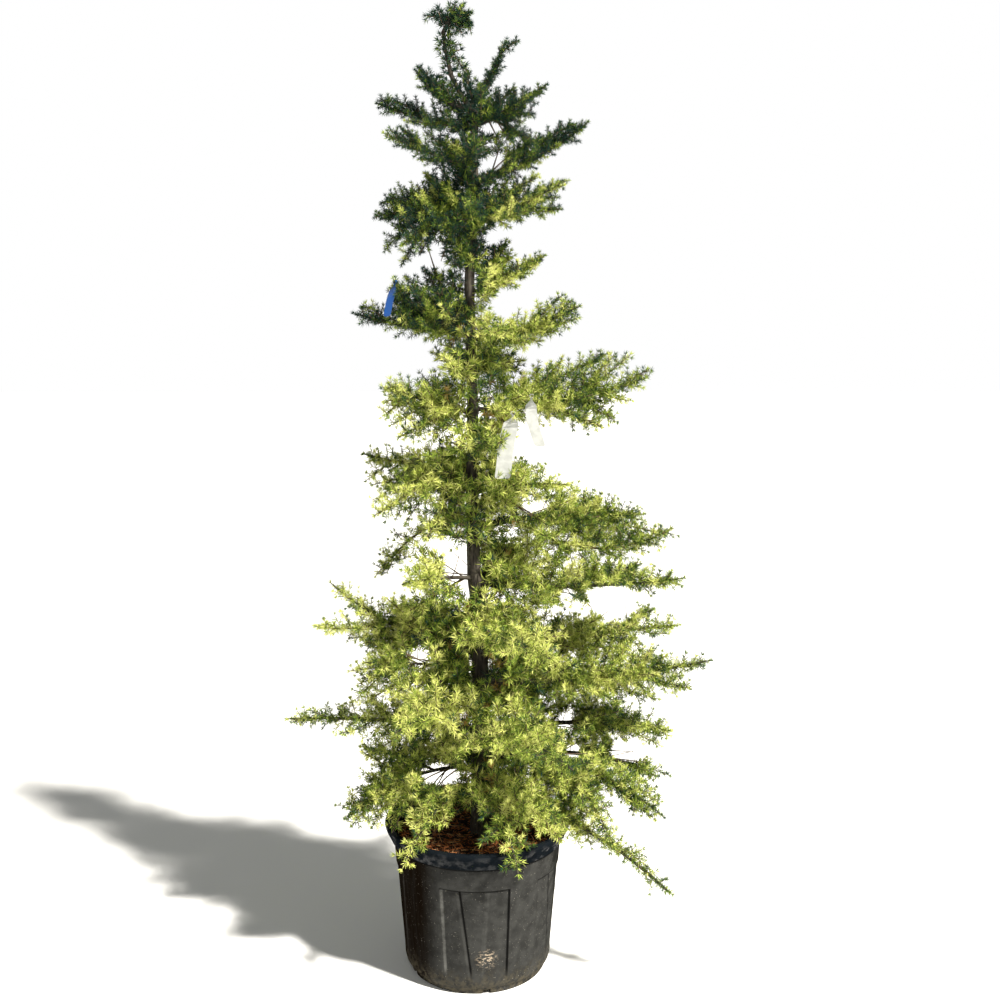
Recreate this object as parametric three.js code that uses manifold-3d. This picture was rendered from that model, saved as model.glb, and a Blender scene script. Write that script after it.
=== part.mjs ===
// A young cedar in its nursery pot: pot, growing medium, trunk, boughs and masses of needles.
// Millimetres, +Z up, +X to the right, +Y to the back.
// The origin is the centre of the pot's flat underside.
import * as THREE from 'three';
import { mergeVertices } from 'three/addons/utils/BufferGeometryUtils.js';
import Module from 'manifold-3d';

const wasm = await Module();
wasm.setup();

// ---------------------------------------------------------------- driving dimensions

const CLEAR = 0.3; // gap between neighbouring pieces

const POT = {
  height: 383,
  lipRadius: 235, // the lip bulges to this just under its top
  lipDepth: 45,
  mouthRadius: 217, // inside edge of the lip
  shoulderRadius: 212, // outside of the wall under the lip
  bandFoot: 279, // height at which the smooth band under the lip steps in
  bandStep: 2.5,
  heelRadius: 189, // outside of the wall where it turns in to the foot
  heelHeight: 40,
  footRadius: 171,
  footHeight: 14,
  wall: 4,
  floor: 6,
  segments: 32,
};

const SOIL_LEVEL = 338;

// height, sideways, backwards and radius of the trunk's sections, from the flat cut to the tip
const TRUNK = [
  [SOIL_LEVEL + CLEAR, 9, 0, 36],
  [352, 9, 0, 29],
  [400, 9, 0, 24.5],
  [560, 10, 3, 22.5],
  [760, 8, 6, 20],
  [900, 5, 6, 18],
  [1045, -8, 3, 16.5],
  [1200, -11, 0, 15],
  [1420, -9, -3, 13.5],
  [1720, -16, 0, 12],
  [1850, -10, 2, 10.5],
  [1970, -3, 2, 9.3],
  [2110, -2, 0, 7.5],
  [2160, -34, 0, 6.5],
  [2200, -56, 0, 5.5],
  [2250, -68, 0, 4.2],
  [2296, -76, 2, 3.2],
];
const TRUNK_SIDES = 16;

const SPRAY_PITCH = 50; // spacing of the side shoots along a stem
const SPRAY_LONGEST = 150; // a longer side shoot is a twig that branches again
const SPRAY_SLENDER = 0.3; // radius of a shoot over its length
const SPRAY_THICKEST = 38;
const TIP_SHOOT = 105; // length of the shoot that ends a stem
const TIP_THICKEST = 26.6;
const SPRAY_SHORTEST = 60; // a shoot with no room is tried again shorter, down to this
const SPRAY_RETRY = 0.72; // its new length over the one that had no room
const SHOOT_CLEAR = 1.5; // room left between the shoots of different masses
const SHOOT_CROWDING = 5; // depth to which shoots of one mass may run together
const ROOT_DEPTH = 1.5; // depth of a shoot's root past the middle of its stem
const STEM_RADIUS = 5;
const STEM_TIP_RADIUS = 2.2;
const TWIG_RADIUS = 3.2;
const LIMB_SIDES = 7;
const LIMB_STEPS = 4; // straight steps of a curved limb
const STEM_SIDES = 3;
const STEM_STEPS = 3; // straight steps of a curved stem
const STEM_END = 0.97; // share of its path at which a stem stops, inside the shoot that ends it

// drawn values of a side shoot, each as its middle and how far it may differ
const SIDE_FAN = [52, 12]; // degrees out from the stem
const SIDE_LIFT = [14, 34]; // degrees up from level
const SIDE_SIZE = [1, 0.16]; // length over what its place on the stem gives
const SIDE_AT_ROOT = 1.05; // length over the bough's width, at the stem's root
const SIDE_AT_TIP = 0.35; // and at its tip

// a long side shoot is a twig with a shoot at its tip and one to each side
const TWIG_END = 0.55; // share of the length that is bare twig
const TWIG_TIP = 0.5; // share at which the shoot at its tip starts, and that shoot's share
const TWIG_FORK = [0.36, 0.1]; // share at which a side one starts
const TWIG_FAN = [0.9, 0.2]; // its sideways part over its forward part
const TWIG_LIFT = [0.15, 0.25]; // its upward part
const TWIG_SIDE = [0.42, 0.06]; // its length over the whole twig's

// name, height on the trunk, bearing, reach, rise of the tip, arch of the middle,
// width of the side shoots, length of bare limb (0: the needles start at the trunk)
const BOUGHS = [
  ['crown_tip', 2296, 0, 66, 22, 34, 56, 0],
  ['second_leader', 2128, 4, 86, 155, -14, 40, 0],
  ['right_17', 2090, -12, 176, 88, -12, 96, 0],
  ['left_17', 2132, 184, 128, 84, -26, 60, 0],
  ['left_16', 2080, 171, 242, 68, -4, 80, 0],
  ['left_15', 2008, 203, 190, 68, -30, 70, 0],
  ['right_16', 1960, 12, 288, 155, -22, 84, 0],
  ['right_15', 1856, -14, 222, 34, 16, 96, 0],
  ['left_14', 1896, 160, 246, -16, 12, 140, 0],
  ['right_14', 1700, 10, 190, 94, -14, 96, 0],
  ['left_13', 1602, 177, 290, 52, -10, 120, 0],
  ['right_13', 1588, -6, 268, 82, -14, 104, 0],
  ['left_12', 1410, 190, 212, 66, -4, 144, 0],
  ['right_12', 1420, 3, 436, 80, -20, 150, 0],
  ['left_11', 1262, 166, 286, 44, -4, 120, 0],
  ['right_11', 1215, -26, 256, 32, 10, 130, 0],
  ['left_10', 1130, 150, 280, -148, 58, 76, 150],
  ['right_10', 1130, 14, 462, 14, 16, 160, 92],
  ['right_9', 990, -18, 524, 42, -14, 170, 104],
  ['left_9', 840, 176, 380, 150, -48, 160, 96],
  ['right_8', 815, 20, 580, 16, 6, 170, 118],
  ['right_7', 735, -6, 580, 70, -18, 180, 118],
  ['left_8', 762, 196, 300, 46, 8, 180, 0],
  ['left_7', 605, 178, 500, 30, 14, 160, 104],
  ['right_6', 605, 14, 530, -46, 24, 190, 112],
  ['right_5', 520, 24, 540, -124, 50, 172, 120],
  ['left_6', 510, 200, 360, -84, 44, 170, 0],
  ['right_4', 535, -9, 468, -134, 66, 160, 110],
  ['right_3', 450, -20, 500, -205, 50, 90, 335],
  ['front_3', 455, -74, 318, -98, 58, 130, 0],
  ['front_2', 450, -128, 312, -106, 66, 96, 0],
  ['front_4', 620, -58, 400, 4, 20, 180, 0],
  ['front_5', 690, -124, 360, 10, 14, 180, 0],
  ['front_6', 860, -64, 370, 20, 12, 176, 0],
  ['front_7', 1000, -128, 280, 30, 8, 160, 0],
  ['front_8', 1318, -66, 180, 36, 4, 130, 0],
  ['front_9', 1490, -112, 130, 40, 0, 110, 0],
  ['back_2', 470, 100, 410, -64, 50, 170, 0],
  ['back_3', 660, 64, 470, 10, 18, 190, 0],
  ['back_4', 790, 118, 430, 26, 14, 180, 0],
  ['back_5', 980, 78, 380, 30, 10, 170, 0],
  ['back_6', 1230, 108, 260, 40, 6, 150, 0],
  ['back_7', 1510, 78, 210, 50, 0, 130, 0],
  ['back_8', 1770, 96, 150, 50, 0, 100, 0],
];

// mass, place along its path (0 to 1), bearing, reach, rise, arch, width: stems that fork off a mass's stem
const FORKS = [
  ['crown_tip', 0.3, 176, 60, 6, 0, 20],
  ['second_leader', 0.03, 180, 16, 86, 0, 42],
  ['right_17', 0.2, 12, 110, -52, 0, 70],
  ['left_15', 0.06, 166, 70, 56, 0, 60],
  ['right_16', 0.12, 24, 110, 96, 0, 70],
  ['right_15', 0.45, 10, 120, 64, 8, 60],
  ['right_15', 0.08, 30, 110, 96, 0, 70],
  ['left_14', 0.14, 222, 170, -100, 4, 120],
  ['left_14', 0.06, 176, 90, 76, 0, 84],
  ['right_14', 0.1, 30, 70, 122, 0, 76],
  ['left_13', 0.25, 205, 120, 100, 10, 100],
  ['left_13', 0.08, 184, 66, 200, 0, 100],
  ['right_13', 0.16, -40, 110, -16, 0, 80],
  ['left_12', 0.1, 204, 160, -64, 4, 110],
  ['right_12', 0.1, 24, 320, 136, 0, 110],
  ['right_12', 0.34, -30, 176, -50, 6, 110],
  ['left_11', 0.12, 206, 214, -100, 8, 120],
  ['left_11', 0.04, 232, 140, -150, 0, 110],
  ['right_11', 0.1, -8, 150, -84, 4, 110],
  ['front_8', 0.1, -30, 90, 92, 0, 90],
  ['right_10', 0.04, -6, 394, -16, -62, 160],
  ['left_9', 0.5, 205, 190, 10, -12, 100],
  ['left_9', 0.03, 208, 150, 124, 0, 90],
  ['front_7', 0.08, 208, 160, -70, 0, 120],
  ['front_6', 0.12, -24, 150, 112, 0, 110],
  ['right_8', 0.55, 44, 180, 30, 8, 90],
  ['right_7', 0.5, -24, 180, -14, 4, 120],
  ['left_6', 0.3, 158, 210, 36, 8, 120],
  ['right_4', 0.06, -36, 250, -186, 66, 130],
  ['front_3', 0.25, -48, 240, -44, 34, 100],
  ['front_3', 0.05, -30, 160, 34, 10, 100],
];

const TOP_TIER = 1800; // needles above this height are deeper green
const FIRST_SEED = 101;
const SEED_STEP = 17;

const BARK = { color: 0x4a4038, roughness: 0.92, metalness: 0 };
const NEEDLES = { color: 0x6d8a35, roughness: 0.7, metalness: 0 };
const TOP_NEEDLES = { color: 0x2f5240, roughness: 0.7, metalness: 0 };

// ---------------------------------------------------------------- solids

// A solid through rings of points that run anticlockwise about its length; a ring of one point is a tip.
function loft(rings) {
  const starts = [];
  const points = [];
  for (const ring of rings) {
    starts.push(points.length);
    points.push(...ring);
  }
  const faces = [];
  for (let k = 0; k + 1 < rings.length; k++) {
    const count = Math.max(rings[k].length, rings[k + 1].length);
    const low = (i) => starts[k] + (i % rings[k].length);
    const high = (i) => starts[k + 1] + (i % rings[k + 1].length);
    for (let i = 0; i < count; i++) {
      if (rings[k].length > 1) faces.push(low(i), low(i + 1), high(i));
      if (rings[k + 1].length > 1) faces.push(low(i + 1), high(i + 1), high(i));
    }
  }
  const last = rings.length - 1;
  for (let i = 1; i + 1 < rings[0].length; i++) faces.push(0, i + 1, i);
  for (let i = 1; i + 1 < rings[last].length; i++) {
    faces.push(starts[last], starts[last] + i, starts[last] + i + 1);
  }
  const geometry = new THREE.BufferGeometry().setFromPoints(points);
  geometry.setIndex(faces);
  return geometry;
}

// A ring of points about a place on a limb, square to its direction.
function ringAbout(centre, direction, radius, sides, turn = 0) {
  const across = new THREE.Vector3(0, 0, 1).cross(direction);
  if (across.length() < 0.05) across.set(1, 0, 0);
  across.normalize();
  const over = direction.clone().normalize().cross(across);
  return Array.from({ length: sides }, (_, i) => {
    const angle = turn + (2 * Math.PI * i) / sides;
    const point = centre.clone().addScaledVector(across, radius * Math.cos(angle));
    return point.addScaledVector(over, radius * Math.sin(angle));
  });
}

function solidOf(geometry) {
  const bare = geometry.clone();
  bare.deleteAttribute('normal');
  bare.deleteAttribute('uv');
  const merged = mergeVertices(bare, 1e-4);
  return new wasm.Manifold(new wasm.Mesh({
    numProp: 3,
    vertProperties: merged.attributes.position.array,
    triVerts: new Uint32Array(merged.index.array),
  }));
}

function geometryOf(solid) {
  const mesh = solid.getMesh();
  const geometry = new THREE.BufferGeometry();
  geometry.setAttribute('position', new THREE.BufferAttribute(mesh.vertProperties, 3));
  geometry.setIndex(new THREE.BufferAttribute(mesh.triVerts, 1));
  return geometry;
}

// Joins pieces into the one largest body; a scrap that touches nothing is dropped.
function fuse(geometries) {
  let whole = solidOf(geometries[0]);
  for (const geometry of geometries.slice(1)) whole = whole.add(solidOf(geometry));
  const bodies = whole.decompose();
  bodies.sort((a, b) => b.volume() - a.volume());
  return geometryOf(bodies[0]);
}

function lathe(profile, segments) {
  const outline = profile.map(([radius, height]) => new THREE.Vector2(radius, height));
  const turned = new THREE.LatheGeometry(outline, segments);
  return turned.rotateX(Math.PI / 2);
}

// ---------------------------------------------------------------- pot and growing medium

const UNDER_LIP = POT.height - POT.lipDepth;

// radius of the wall's outside at a height between its heel and the lip
function wallRadius(height) {
  const share = (height - POT.heelHeight) / (UNDER_LIP - POT.heelHeight);
  return THREE.MathUtils.lerp(POT.heelRadius, POT.shoulderRadius, share);
}

function potGeometry() {
  const { bandFoot, bandStep, heelHeight, footHeight, footRadius, lipRadius, mouthRadius } = POT;
  const inside = (height) => wallRadius(height) - POT.wall;
  return lathe([
    [0, 0],
    [footRadius, 0],
    [footRadius + 4, footHeight],
    [POT.heelRadius - 5, footHeight + 8],
    [wallRadius(heelHeight) - bandStep, heelHeight],
    [wallRadius(bandFoot) - bandStep, bandFoot - bandStep],
    [wallRadius(bandFoot), bandFoot],
    [wallRadius(UNDER_LIP - 4), UNDER_LIP - 4],
    [POT.shoulderRadius + 8, UNDER_LIP + 4],
    [lipRadius - 6, UNDER_LIP + 20],
    [lipRadius, POT.height - 10],
    [lipRadius - 4, POT.height - 2],
    [mouthRadius + 6, POT.height],
    [mouthRadius, POT.height - 5],
    [inside(UNDER_LIP), UNDER_LIP],
    [inside(heelHeight) - bandStep, heelHeight],
    [footRadius - POT.wall, POT.floor],
    [0, POT.floor],
  ], POT.segments);
}

function soilGeometry() {
  const inside = (height) => wallRadius(height) - POT.wall - CLEAR;
  const shoulder = SOIL_LEVEL - 8; // the top of the filling is rounded off towards the wall
  return lathe([
    [0, POT.floor + CLEAR],
    [POT.footRadius - POT.wall - 2 * CLEAR, POT.floor + CLEAR],
    [inside(POT.heelHeight) - POT.bandStep - CLEAR, POT.heelHeight],
    [inside(shoulder) - CLEAR, shoulder],
    [inside(shoulder) - 12, SOIL_LEVEL],
    [0, SOIL_LEVEL],
  ], POT.segments);
}

// ---------------------------------------------------------------- trunk

// centre and radius of the trunk at a height
function trunkAt(height) {
  let k = 0;
  while (k + 2 < TRUNK.length && TRUNK[k + 1][0] < height) k++;
  const [low, high] = [TRUNK[k], TRUNK[k + 1]];
  const share = Math.min(Math.max((height - low[0]) / (high[0] - low[0]), 0), 1);
  const [level, x, y, radius] = low.map((value, i) => value + share * (high[i] - value));
  return { centre: new THREE.Vector3(x, y, level), radius };
}

function trunkGeometry() {
  return loft(TRUNK.map(([height, x, y, radius]) =>
    ringAbout(new THREE.Vector3(x, y, height), new THREE.Vector3(0, 0, 1), radius, TRUNK_SIDES)));
}

// level distance of a point from the nearest flat side of the trunk
function trunkGap(point) {
  const { centre, radius } = trunkAt(point.z);
  if (point.z > centre.z) return point.z - centre.z;
  const half = Math.PI / TRUNK_SIDES;
  const angle = Math.atan2(point.y - centre.y, point.x - centre.x) + 2 * Math.PI;
  const offSide = (angle % (2 * half)) - half;
  return Math.hypot(point.x - centre.x, point.y - centre.y) * Math.cos(offSide) - radius * Math.cos(half);
}

// ---------------------------------------------------------------- how the crown grows

function seeded(seed) {
  let state = seed >>> 0;
  return () => {
    state = (Math.imul(state, 1664525) + 1013904223) >>> 0;
    return state / 4294967296;
  };
}

// The curve of a bough from a point: level reach on a bearing, rise of its tip, arch of its middle.
function pathFrom(start, bearing, reach, rise, arch) {
  const angle = THREE.MathUtils.degToRad(bearing);
  const tip = start.clone().add(new THREE.Vector3(reach * Math.cos(angle), reach * Math.sin(angle), rise));
  const crest = start.clone().lerp(tip, 0.5);
  crest.z += 2 * arch;
  return new THREE.QuadraticBezierCurve3(start, crest, tip);
}

// The first place on a path where a ring about it, with all that it spans, clears the trunk.
function leavesTrunk(path, radius, sides) {
  const step = 0.0005;
  let t = 0;
  const near = (one, other) =>
    [0, 0.25, 0.5].some((share) => trunkGap(one.clone().lerp(other, share)) < CLEAR);
  const touches = (ring) => ring.some((one) => ring.some((other) => near(one, other)));
  while (touches(ringAbout(path.getPoint(t), path.getTangent(t), radius, sides))) t += step;
  return t;
}

function limbRadius(reach, share) {
  return THREE.MathUtils.lerp(4 + reach / 75, 3 + reach / 160, share);
}

// Part of a path as a tapering round limb or three-sided stem.
function limbAlong(path, from, to, radiusFrom, radiusTo, sides, steps) {
  const rings = [];
  for (let k = 0; k <= steps; k++) {
    const t = from + ((to - from) * k) / steps;
    const radius = THREE.MathUtils.lerp(radiusFrom, radiusTo, k / steps);
    rings.push(ringAbout(path.getPoint(t), path.getTangent(t), radius, sides));
  }
  return loft(rings);
}

// A shoot of needles: a slim core with whorls of needles that stand out of it, and a pointed tip.
function sprayGeometry({ from, to, radius }) {
  const lead = 1.3; // spaces between whorls before the first one
  const waist = 0.09; // share of the length from a whorl to the bare core above it
  const direction = to.clone().sub(from);
  const whorls = direction.length() > SPRAY_SHORTEST ? 2 : 1;
  const root = from.clone().addScaledVector(direction.clone().normalize(), -ROOT_DEPTH);
  const threeAbout = (place, spread, turn) =>
    ringAbout(from.clone().lerp(to, place), direction, spread, 3, turn);
  const rings = [[root]];
  for (let k = 0; k < whorls; k++) {
    const place = (k + lead) / (whorls + lead);
    const spread = radius * (1 - 0.45 * (k / whorls));
    rings.push(threeAbout(place, spread, Math.PI / 3));
    if (k + 1 < whorls) rings.push(threeAbout(place + waist, spread * 0.3, (Math.PI * 2) / 3));
  }
  rings.push([to.clone()]);
  return loft(rings);
}

// The same stretch as straight strands, against which shoots are measured.
function strandsAlong(path, from, to, radius, steps) {
  const placeAt = (k) => path.getPoint(from + ((to - from) * k) / steps);
  return Array.from({ length: steps }, (_, k) => ({ from: placeAt(k), to: placeAt(k + 1), radius }));
}

function twigGeometry({ from, to, radius }) {
  const direction = to.clone().sub(from);
  const root = ringAbout(from, direction, radius * 0.8, STEM_SIDES);
  return loft([root, ringAbout(to, direction, radius * 0.6, STEM_SIDES)]);
}

// outer radius of a strand at a share of its length: even on a twig, pointed on a shoot
function girth(strand, share) {
  if (!strand.pointed) return strand.radius;
  return strand.radius * Math.min(1, 0.05 + 2.6 * share, (1 - share) / 0.39);
}

// distance between two straight strands, measured from nine places on the first
function strandGap(one, other) {
  const line = new THREE.Line3(other.from, other.to);
  const place = new THREE.Vector3();
  const nearest = new THREE.Vector3();
  let gap = Infinity;
  for (let k = 0; k <= 8; k++) {
    place.lerpVectors(one.from, one.to, k / 8);
    const share = line.closestPointToPointParameter(place, true);
    line.at(share, nearest);
    gap = Math.min(gap, place.distanceTo(nearest) - girth(one, k / 8) - girth(other, share));
  }
  return gap;
}

// Whether a strand keeps off the trunk, the pot and the growing medium.
function clearOfPotAndTrunk(strand) {
  const place = new THREE.Vector3();
  for (let k = 1; k <= 8; k++) {
    place.lerpVectors(strand.from, strand.to, k / 8);
    const out = Math.hypot(place.x, place.y);
    const margin = girth(strand, k / 8) + 2;
    if (trunkGap(place) < margin) return false;
    if (out < POT.mouthRadius - margin && place.z < SOIL_LEVEL + margin) return false;
    const overWall = out >= POT.mouthRadius - margin && out < POT.lipRadius + margin;
    if (overWall && place.z < POT.height + margin) return false;
  }
  return true;
}

// Grows one mass: the stem along its path, then shoots that alternate to its sides, branching where long.
class Mass {
  constructor(name, seed) {
    this.name = name;
    this.random = seeded(seed);
    this.solids = [];
    this.strands = [];
  }

  // a number about a middle, give or take a spread
  about(middle, spread) {
    return middle + spread * (2 * this.random() - 1);
  }

  addStem(path, from, radius) {
    this.solids.push(limbAlong(path, from, STEM_END, radius, STEM_TIP_RADIUS, STEM_SIDES, STEM_STEPS));
    this.strands.push(...strandsAlong(path, from, STEM_END, radius, STEM_STEPS));
  }

  // A shoot is kept only where it touches no other mass, limb, trunk or pot.
  tryShoot(strand, others, solid) {
    if (!clearOfPotAndTrunk(strand)) return false;
    if (others.some((other) => strandGap(strand, other) < SHOOT_CLEAR)) return false;
    const crowds = (own) => own.pointed && strandGap(strand, own) < -SHOOT_CROWDING;
    if (this.strands.some(crowds)) return false;
    this.strands.push(strand);
    this.solids.push(solid(strand));
    return true;
  }

  addShoot(root, direction, length, others) {
    const tip = root.clone().addScaledVector(direction, length);
    if (length <= SPRAY_LONGEST) {
      const radius = Math.min(length * SPRAY_SLENDER, SPRAY_THICKEST);
      if (this.tryShoot({ from: root, to: tip, radius, pointed: true }, others, sprayGeometry)) return;
      if (length > SPRAY_SHORTEST) this.addShoot(root, direction, length * SPRAY_RETRY, others);
      return;
    }
    const fork = root.clone().lerp(tip, TWIG_END);
    if (!this.tryShoot({ from: root, to: fork, radius: TWIG_RADIUS }, others, twigGeometry)) return;
    this.addShoot(root.clone().lerp(tip, TWIG_TIP), direction, length * TWIG_TIP, others);
    const across = new THREE.Vector3(0, 0, 1).cross(direction).normalize();
    for (const side of [-1, 1]) {
      const place = root.clone().lerp(tip, this.about(...TWIG_FORK));
      const aside = direction.clone().addScaledVector(across, side * this.about(...TWIG_FAN));
      aside.z += this.about(...TWIG_LIFT);
      this.addShoot(place, aside.normalize(), length * this.about(...TWIG_SIDE), others);
    }
  }

  addTipShoot(path, from, others) {
    const end = path.getPoint(1);
    const heel = path.getPoint(Math.max(from, 1 - TIP_SHOOT / path.getLength()));
    const radius = Math.min(heel.distanceTo(end) * SPRAY_SLENDER, TIP_THICKEST);
    this.tryShoot({ from: heel, to: end, radius, pointed: true }, others, sprayGeometry);
  }

  addShoots(path, from, width, others) {
    const length = path.getLength() * (1 - from);
    const count = Math.max(Math.round(length / SPRAY_PITCH), 2);
    for (let i = 0; i < count; i++) {
      const share = (i + 0.5) / (count + 0.4);
      const t = from + (1 - from) * share;
      const along = path.getTangent(t);
      const across = new THREE.Vector3(0, 0, 1).cross(along).normalize();
      const side = i % 2 ? 1 : -1;
      const fan = THREE.MathUtils.degToRad(this.about(...SIDE_FAN));
      const lift = THREE.MathUtils.degToRad(this.about(...SIDE_LIFT));
      const direction = along.clone().multiplyScalar(Math.cos(fan));
      direction.addScaledVector(across, side * Math.sin(fan) * Math.cos(lift));
      direction.z += Math.sin(fan) * Math.sin(lift);
      const size = width * THREE.MathUtils.lerp(SIDE_AT_ROOT, SIDE_AT_TIP, share);
      this.addShoot(path.getPoint(t), direction.normalize(), size * this.about(...SIDE_SIZE), others);
    }
  }
}

// The bare limb of a bough, from the trunk's surface out to a length along its path.
function growLimb(name, path, reach, bare) {
  const thick = limbRadius(reach, 0);
  const radius = limbRadius(reach, 1);
  const start = leavesTrunk(path, thick, LIMB_SIDES);
  const end = bare / path.getLength();
  return {
    name,
    end,
    radius,
    geometry: limbAlong(path, start, end, thick, radius, LIMB_SIDES, LIMB_STEPS),
    strands: strandsAlong(path, start, end, thick, LIMB_STEPS),
  };
}

// A mass's main stem and the stems that fork off it, with the width of the shoots along each.
function growStems(mass, path, from, radius, width) {
  mass.addStem(path, from, radius);
  const stems = [{ path, from, width }];
  for (const [owner, at, bearing, reach, rise, arch, forkWidth] of FORKS) {
    if (owner !== mass.name) continue;
    const root = path.getPoint(from + (1 - from) * at);
    const branch = pathFrom(root, bearing, reach, rise, arch);
    mass.addStem(branch, 0, TWIG_RADIUS);
    stems.push({ path: branch, from: 0, width: forkWidth });
  }
  return stems;
}

// Lays all the limbs and stems first, so that the shoots, mass by mass, can keep off them.
function growCrown() {
  const limbs = [];
  const grown = BOUGHS.map(([name, height, bearing, reach, rise, arch, width, bare], index) => {
    const path = pathFrom(trunkAt(height).centre, bearing, reach, rise, arch);
    const mass = new Mass(name, FIRST_SEED + SEED_STEP * index);
    if (!bare) {
      const from = leavesTrunk(path, STEM_RADIUS, STEM_SIDES);
      return { mass, stems: growStems(mass, path, from, STEM_RADIUS, width) };
    }
    const limb = growLimb(name, path, reach, bare);
    limbs.push(limb);
    const from = limb.end + CLEAR / path.getLength();
    return { mass, stems: growStems(mass, path, from, limb.radius * 0.95, width) };
  });
  const masses = grown.map(({ mass }) => mass);
  for (const { mass, stems } of grown) {
    const neighbours = masses.filter((each) => each !== mass);
    const others = [...limbs, ...neighbours].flatMap(({ strands }) => strands);
    for (const { path, from } of stems) mass.addTipShoot(path, from, others);
    for (const { path, from, width } of stems) mass.addShoots(path, from, width, others);
  }
  return { limbs, masses };
}

// ---------------------------------------------------------------- the plant

const plant = new THREE.Group();

function addPiece(name, geometry, finish) {
  const mesh = new THREE.Mesh(geometry, new THREE.MeshStandardMaterial(finish));
  mesh.name = name;
  plant.add(mesh);
}

addPiece('pot', potGeometry(), { color: 0x26272b, roughness: 0.5, metalness: 0 });
addPiece('growing_medium', soilGeometry(), { color: 0x5a2f1c, roughness: 0.95, metalness: 0 });
addPiece('trunk', trunkGeometry(), BARK);

const crown = growCrown();
for (const { name, geometry } of crown.limbs) addPiece(`bough_${name}`, geometry, BARK);
for (const { name, solids, strands } of crown.masses) {
  addPiece(`needles_${name}`, fuse(solids), strands[0].from.z > TOP_TIER ? TOP_NEEDLES : NEEDLES);
}

export default plant;
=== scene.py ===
"""A young cedar in its nursery pot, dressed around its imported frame. Metres, +Z up, the front towards -Y."""
import math

import bpy
import numpy as np
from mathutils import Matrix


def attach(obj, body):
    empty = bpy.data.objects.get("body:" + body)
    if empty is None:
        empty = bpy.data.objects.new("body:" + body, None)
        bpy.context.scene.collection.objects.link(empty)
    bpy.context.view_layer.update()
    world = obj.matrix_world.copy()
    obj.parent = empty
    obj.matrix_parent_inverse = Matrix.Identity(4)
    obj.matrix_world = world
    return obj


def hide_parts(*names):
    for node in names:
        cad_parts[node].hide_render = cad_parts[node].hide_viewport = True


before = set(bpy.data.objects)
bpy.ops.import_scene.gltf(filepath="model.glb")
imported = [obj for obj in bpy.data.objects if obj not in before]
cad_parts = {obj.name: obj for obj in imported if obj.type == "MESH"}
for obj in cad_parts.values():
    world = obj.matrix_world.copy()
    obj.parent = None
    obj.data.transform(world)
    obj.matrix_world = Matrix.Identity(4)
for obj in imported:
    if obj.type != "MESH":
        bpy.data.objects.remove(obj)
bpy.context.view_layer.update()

MM = 0.001  # the crown's rule and the pot's profile are written in millimetres

# ------------------------------------------------------------------ the crown's driving sizes, in millimetres

CLEAR = 0.3  # gap between neighbouring solids
SOIL_LEVEL = 338

POT = {
    "height": 383,
    "lip_radius": 235,
    "lip_depth": 45,
    "mouth_radius": 217,
    "shoulder_radius": 212,
    "band_foot": 279,  # height at which the smooth band under the lip steps in
    "band_step": 2.5,
    "heel_radius": 189,
    "heel_height": 40,
    "foot_radius": 171,
    "foot_height": 14,
    "wall": 4,
    "floor": 6,
}

# height, sideways, backwards and radius of the trunk's sections, from the flat cut to the tip
TRUNK = np.array([
    [SOIL_LEVEL + CLEAR, 9, 0, 36],
    [352, 9, 0, 29],
    [400, 9, 0, 24.5],
    [560, 10, 3, 22.5],
    [760, 8, 6, 20],
    [900, 5, 6, 18],
    [1045, -8, 3, 16.5],
    [1200, -11, 0, 15],
    [1420, -9, -3, 13.5],
    [1720, -16, 0, 12],
    [1850, -10, 2, 10.5],
    [1970, -3, 2, 9.3],
    [2110, -2, 0, 7.5],
    [2160, -34, 0, 6.5],
    [2200, -56, 0, 5.5],
    [2250, -68, 0, 4.2],
    [2296, -76, 2, 3.2],
])
TRUNK_SIDES = 16

SPRAY_PITCH = 50  # spacing of the side shoots along a stem
SPRAY_LONGEST = 150  # a longer side shoot is a twig that branches again
SPRAY_SLENDER = 0.3  # radius of a shoot over its length
SPRAY_THICKEST = 38
TIP_SHOOT = 105  # length of the shoot that ends a stem
TIP_THICKEST = 26.6
SPRAY_SHORTEST = 60  # a shoot with no room is tried again shorter, down to this
SPRAY_RETRY = 0.72  # its new length over the one that had no room
SHOOT_CLEAR = 1.5  # room left between the shoots of different masses
SHOOT_CROWDING = 5  # depth to which shoots of one mass may run together
STEM_RADIUS = 5
TWIG_RADIUS = 3.2
LIMB_SIDES = 7
LIMB_STEPS = 4
STEM_SIDES = 3
STEM_STEPS = 3
LIMB_AT_TRUNK = (4, 75)  # a limb's least radius at the trunk, and the reach that adds each millimetre to it
LIMB_AT_END = (3, 160)  # the same at its end
STEM_IN_LIMB = 0.95  # radius of a mass's stem over that of the limb that carries it
POINTED = (0.05, 2.6, 0.39)  # a shoot's girth at its root, its growth from there, the share that tapers
GAP_STEPS = 8  # steps along a shoot at which its distance from others is taken
WALL_ROOM = 2  # room left between a shoot and the pot, the filling or the trunk
OUT_STEP = 0.0005  # share of its path by which a stem's start is moved until it clears the trunk
STEM_END = 0.97  # share of its path at which a stem stops, inside the shoot that ends it
FIRST_SEED = 101
SEED_STEP = 17

# drawn values of a side shoot, each as its middle and how far it may differ
SIDE_FAN = (52, 12)  # degrees out from the stem
SIDE_LIFT = (14, 34)  # degrees up from level
SIDE_SIZE = (1, 0.16)  # length over what its place on the stem gives
SIDE_AT_ROOT = 1.05  # length over the bough's width, at the stem's root
SIDE_AT_TIP = 0.35  # and at its tip

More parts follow.
